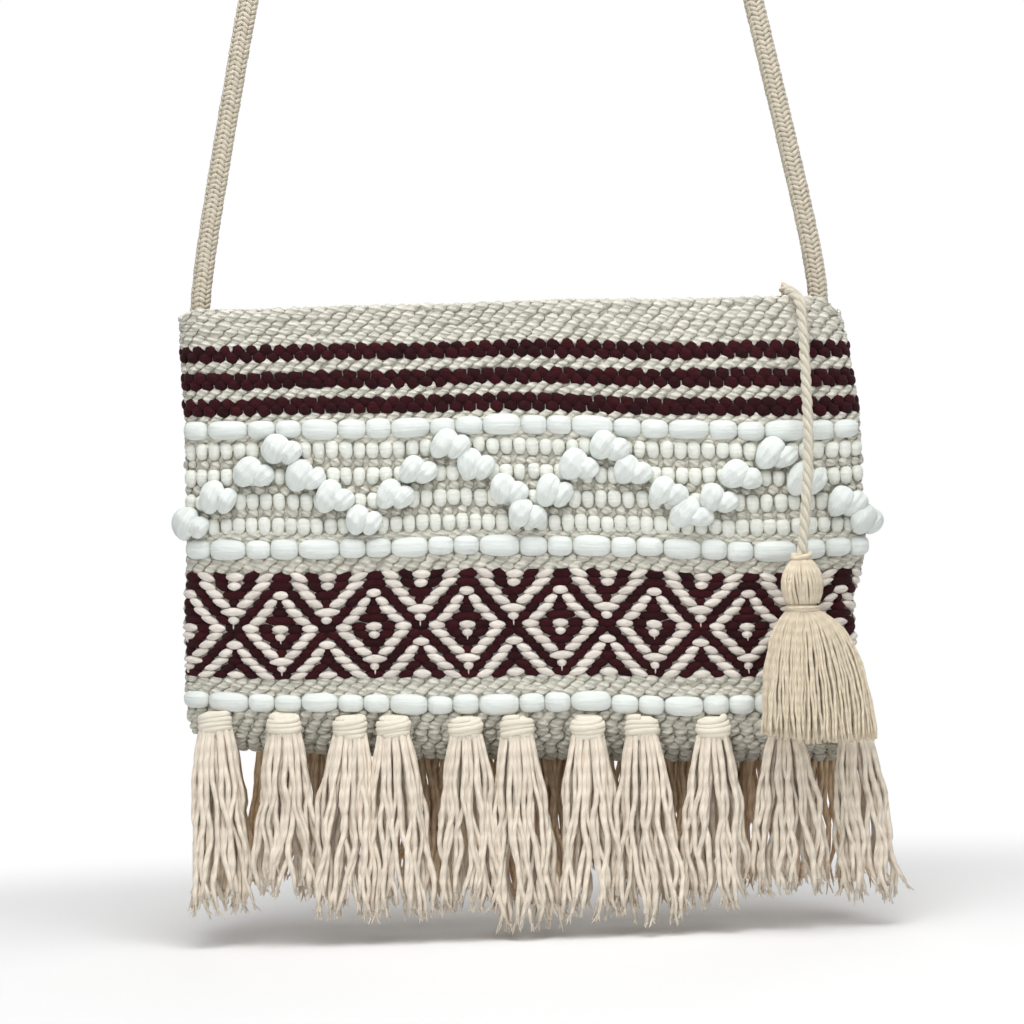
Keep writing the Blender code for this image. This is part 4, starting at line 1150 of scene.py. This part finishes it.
def wrapPart(rng, middle, size, turns, thread, towards=(0, 0, 1)):
    # A thread wound round the tassel's neck
    count = turns * 22
    angle = np.linspace(0, 2 * np.pi * turns, count) + rng.uniform(0, 6)
    height = np.linspace(-0.5, 0.5, count)
    bulge = 1 - 0.16 * (2 * height) ** 2 - 0.10 * np.clip(4 * height - 1, 0, 1)
    lean = 0.5 * thread * np.sin(angle * (1 + 0.06 * rng.normal()) + rng.uniform(0, 6))
    line = np.stack([
        middle[0] + (size[0] / 2 - thread) * bulge * np.cos(angle),
        middle[1] + (size[1] / 2 - thread) * bulge * np.sin(angle),
        middle[2] + height * (size[2] - 2 * thread) + lean], axis=1)
    radii = thread * (1 + 0.14 * np.sin(angle * 0.37 + rng.uniform(0, 6)))[None]
    points, faces, yarn = sweep(line[None], radii, 8, towards)
    return points, faces, yarn, np.full(len(points), 0.5)


def neckPart(middle, size, sides=14):  # the folded strands inside the wrap, rounded over at the top
    levels = ((-0.5, 0.78), (0.0, 0.82), (0.34, 0.74), (0.45, 0.45))
    angles = 2 * np.pi * np.arange(sides) / sides
    rings = []
    for level, share in levels:
        x = middle[0] + share * size[0] / 2 * np.cos(angles)
        y = middle[1] + share * size[1] / 2 * np.sin(angles)
        rings.append(np.stack([x, y, np.full(sides, middle[2] + level * size[2])], axis=1))
    points = np.concatenate(rings)
    faces = [tuple(reversed(face)) for face in gridFaces(len(levels), sides, True)]
    faces.append(tuple(range(sides)))
    faces.append(tuple(reversed(range((len(levels) - 1) * sides, len(levels) * sides))))
    yarn = np.stack([points[:, 2], np.tile(angles / 6.28, len(levels)), np.full(len(points), 1.0)], axis=1)
    return points, faces, yarn, np.full(len(points), 0.5)


def cutStrands(rng, lines, look):  # strands and the loose fibres at their ends
    strands = strandPart(rng, lines, fringe["strandRadius"], look["sides"])
    path, radii = frayedEnds(rng, lines, look["fibre"], look["perStrand"], look["endLength"])
    points, faces, yarn = sweep(path, radii, 4, (0, 1, 0))
    return [strands, (points, faces, yarn, np.full(len(points), 0.35))]


def fringeWrap(rng, middle, size):
    return [wrapPart(rng, middle, size, fringe["wrapTurns"], fringe["wrapThread"]), neckPart(middle, size)]


def makeFringe():
    rng = np.random.default_rng(randomSeed + 6)
    half = fringe["wrapHeight"] / 2
    v = cloth.arcDown(fringe["down"])
    size = (fringe["wrapWidth"] * 1.05, fringe["wrapDepth"], fringe["wrapHeight"])
    neck = (0.78 * size[0], 0.62 * size[1])
    for index in range(fringe["count"]):
        name = f"{index + 1:02d}"
        spot = (index - (fringe["count"] - 1) / 2) * fringe["pitch"]
        x = spot + fringe["sway"][index]
        y = -clothDepth(x, fringe["down"] - half) - fringe["wrapDepth"] / 2 - fringe["gap"]
        x += fringe["nudge"][index]
        z = -strapDrop - fringe["down"] - pouch["sag"] * x + float(rowBend(x, v))
        skirt = (fringe["skirtWidth"] * fringe["spread"][index], fringe["skirtDepth"])
        lines = hangStrands(rng, (x, y), z - half + 0.002, neck, skirt, fringe["reach"][index], fringe,
                            fringe["lean"][index] - 0.6 * fringe["sway"][index])
        parts = cutStrands(rng, lines, fringe["front"])
        makePiece(f"fringe_strands_{name}", *joinParts(parts), fringeYarn, "bag", "fringe_cotton",
                  [f"fringe_front_{name}"])
        parts = fringeWrap(rng, (x, y, z), size)
        makePiece(f"fringe_binding_{name}", *joinParts(parts), wrapYarn, "bag", "fringe_cotton",
                  [f"fringe_wrap_{name}"])
        backX = spot - fringe["sway"][index] / 2
        backY = clothDepth(backX, fringe["down"] - half + fringe["shoulder"]) + fringe["wrapDepth"] / 2
        backZ = -strapDrop - fringe["down"] - pouch["sag"] * backX + float(rowBend(backX, v))
        skirt = (fringe["skirtWidth"] * fringe["backSpread"][index], fringe["skirtDepth"])
        wide = (neck[0] * (1.0 if index < 2 else 1.5), neck[1])
        lines = hangStrands(rng, (backX, backY), backZ - half + 0.002, wide, skirt,
                            0.95 * fringe["reach"][index], {**fringe, "stations": 13})
        parts = cutStrands(rng, lines, fringe["behind"]) + fringeWrap(rng, (backX, backY, backZ), size)
        makePiece(f"fringe_behind_{name}", *joinParts(parts), shadeTintedBackFringeYarn, "bag", "fringe_cotton",
                  [f"fringe_back_{name}"])


makeFringe()
print("fringe made")


# Tassel on the zip's pull

pullTassel = {
    "place": (.1148, -.0352, .1074), "headWidth": 0.0172, "headHeight": 0.0185, "neck": 0.0116,
    "bindWidth": 0.0146, "bindHeight": 0.0042, "length": 0.0742, "skirtDepth": 0.0200, "stations": 17,
    "radius": 0.00062, "left": (0.0098, 0.0172), "right": (0.0118, 0.0264),
    "layers": ((1.0, 100), (0.84, 78), (0.62, 54), (0.40, 34), (0.18, 14)),
}


def makePullTassel():
    rng = np.random.default_rng(randomSeed + 7)
    look = pullTassel
    x, y, down = look["place"]
    top = -strapDrop - down
    profile = ((0.0, 0.16), (0.04, 0.42), (0.12, 0.62), (0.24, 0.80), (0.38, 0.94), (0.52, 1.0), (0.66, 1.0),
               (0.80, 0.95), (0.92, 0.86), (1.0, 0.80))
    levels = np.array([share for share, size in profile])
    sizes = np.array([size for share, size in profile]) * look["headWidth"] / 2
    fine = np.linspace(0, 1, 15)
    radius = np.interp(fine, levels, sizes) - 0.0007
    lines = []
    count = 52
    for index in range(count):
        angle = 2 * math.pi * index / count + 0.10 * np.sin(fine * 3 + index) + rng.normal(0, 0.02)
        lines.append(np.stack([x + radius * np.cos(angle), y + radius * np.sin(angle),
                               top - fine * look["headHeight"]], axis=1))
    head = strandPart(rng, np.array(lines), 0.00072, 6, (0.13, 0.07, 0.99), 1.0)
    coreWidth = look["headWidth"] * 0.98
    core = neckPart((x, y, top - look["headHeight"] / 2), (coreWidth, coreWidth, look["headHeight"] * 0.74))
    makePiece("pull_tassel_head", *joinParts([head, core]), tasselYarn, "pull", "tassel_yarn")
    bindZ = top - look["headHeight"] - look["bindHeight"] / 2
    size = (look["bindWidth"], look["bindWidth"], look["bindHeight"])
    bind = wrapPart(rng, (x, y, bindZ), size, 3, 0.00074)
    neck = neckPart((x, y, bindZ), (look["neck"] * 1.1, look["neck"] * 1.1, look["bindHeight"]))
    makePiece("pull_tassel_binding", *joinParts([bind, neck]), tasselYarn, "pull", "tassel_yarn",
              ["zip_tassel_wrap"])
    collar = wrapPart(rng, (x, y, top + 0.0004), (0.0094, 0.0094, 0.0036), 2, 0.00105)
    makePiece("pull_tassel_collar", *collar, tasselYarn, "pull", "tassel_yarn")
    skirtTop = top - look["headHeight"] - look["bindHeight"] + 0.0012
    fall = look["length"] - look["headHeight"] - look["bindHeight"] + 0.0012
    t = np.linspace(0, 1, look["stations"]) ** 1.25
    parts = []
    for share, strands in look["layers"]:
        angle = 2 * np.pi * (np.arange(strands)[:, None] + rng.uniform(-0.3, 0.3, (strands, 1))) / strands
        size = share * rng.uniform(0.92, 1.04, (strands, 1))
        low, high = [np.where(np.cos(angle) > 0, look["right"][end], look["left"][end]) for end in (0, 1)]
        flare = low + (high - low) * (1 - (1 - t) ** 2.3)
        shoulder = 1 - np.exp(-t * 16)
        gathered = look["neck"] / 2 * share * (1 - shoulder)
        across = gathered + flare * size * shoulder
        deep = gathered + look["skirtDepth"] / 2 * size * shoulder * (0.62 + 0.38 * t)
        phase = rng.uniform(0, 2 * np.pi, (3, strands, 1))
        turn = 2 * np.pi * t
        wave = 0.00045 * np.sin(1.5 * turn + phase[0]) * t + 0.0002 * np.sin(4 * turn + phase[1])
        stray = rng.normal(0, 0.0012, (strands, 1)) * t ** 3 * (rng.uniform(size=(strands, 1)) < 0.4)
        length = fall * (1 + rng.normal(0, 0.022, (strands, 1)).clip(-0.07, 0.02))
        length = length * (1 - 0.07 * np.clip(-np.cos(angle), 0, 1))
        lines = np.stack([x + across * np.cos(angle) + wave + stray, y + deep * np.sin(angle) + wave * 0.6,
                          np.broadcast_to(skirtTop - length * t, across.shape)], axis=-1)
        parts.append(strandPart(rng, lines, look["radius"], 6, (0, 1, 0), 0.9))
    makePiece("pull_tassel_skirt", *joinParts(parts), tasselYarn, "pull", "tassel_yarn", ["zip_tassel"])


makePullTassel()
print("zip tassel made")


# Lining and zip

lining = {"gap": 0.0006, "thickness": 0.0008, "down": 0.0146, "above": 0.0126}
teeth = {"pitch": 0.0021, "neck": 0.0006, "stagger": 0.25, "bevel": 0.00012}


def makeLining():
    columns = 81
    shares = np.sin(np.linspace(0, np.pi / 2, (columns + 1) // 2))
    inset = pouch["wall"] + lining["gap"]
    inner = inset + lining["thickness"]
    bottom = pouch["height"] - lining["above"]
    rings = [insideRing(down, inset, shares) for down in np.linspace(bottom, lining["down"], 22)]
    floor = bottom - lining["thickness"]
    rings += [insideRing(down, inner, shares) for down in np.linspace(lining["down"], floor, 22)]
    points = np.concatenate(rings)
    faces = [tuple(reversed(face)) for face in gridFaces(len(rings), 2 * columns - 2, True)]
    faces += closeFlat(0, columns, False)
    faces += closeFlat((len(rings) - 1) * (2 * columns - 2), columns, True)
    yarn = np.stack([points[:, 0], points[:, 2], np.ones(len(points))], axis=1)
    makePiece("pouch_lining", points, faces, yarn, np.full(len(points), 0.5), liningCloth, "bag",
              "lining", ["lining"])


def makeTeeth():
    # Fine teeth in place of the frame's combs, as far apart as a real chain's
    for side, node in ((front, "zip_teeth_front"), (back, "zip_teeth_back")):
        low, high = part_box(node)
        inner = low.y if side == back else -high.y
        outer = high.y if side == back else -low.y
        count = int((high.x - low.x) / teeth["pitch"])
        points, faces = [], []
        middle = (low.z + high.z) / 2
        rings = ((outer, 0.00050, 0.0007), (inner + teeth["neck"], 0.00050, 0.0009), (inner, 0.00034, 0.0006))
        for index in range(count):
            x = low.x + (index + 0.5 + side * teeth["stagger"]) * (high.x - low.x) / count
            start = len(points)
            for y, half, tall in rings:
                for dx, dz in ((-half, -tall), (half, -tall), (half, tall), (-half, tall)):
                    points.append((x + dx, side * y, middle + dz))
            for ring in range(2):
                for corner in range(4):
                    following = (corner + 1) % 4
                    face = (start + ring * 4 + corner, start + ring * 4 + following,
                            start + ring * 4 + 4 + following, start + ring * 4 + 4 + corner)
                    faces.append(face if side == front else tuple(reversed(face)))
            ends = [(start + 3, start + 2, start + 1, start), (start + 8, start + 9, start + 10, start + 11)]
            faces += ends if side == front else [tuple(reversed(face)) for face in ends]
        points = np.array(points)
        made = makePiece(f"{node}_fine", points, faces, points, np.full(len(points), 0.5), teethMetal, "bag",
                         "zip_metal", [node])
        made.data.polygons.foreach_set("use_smooth", [False] * len(made.data.polygons))
        bevel = made.modifiers.new("edges", "BEVEL")
        bevel.width = teeth["bevel"]
        bevel.segments = 1


makeLining()
makeTeeth()
for node, finish in (("zip_tape_front", zipTape), ("zip_tape_back", zipTape), ("zip_end_stop", zipMetal),
                     ("zip_start_stop", zipMetal), ("zip_slider", zipMetal), ("pull_ring", zipMetal)):
    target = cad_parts[node]
    target.data.materials.clear()
    target.data.materials.append(finish)
print("lining and zip made")
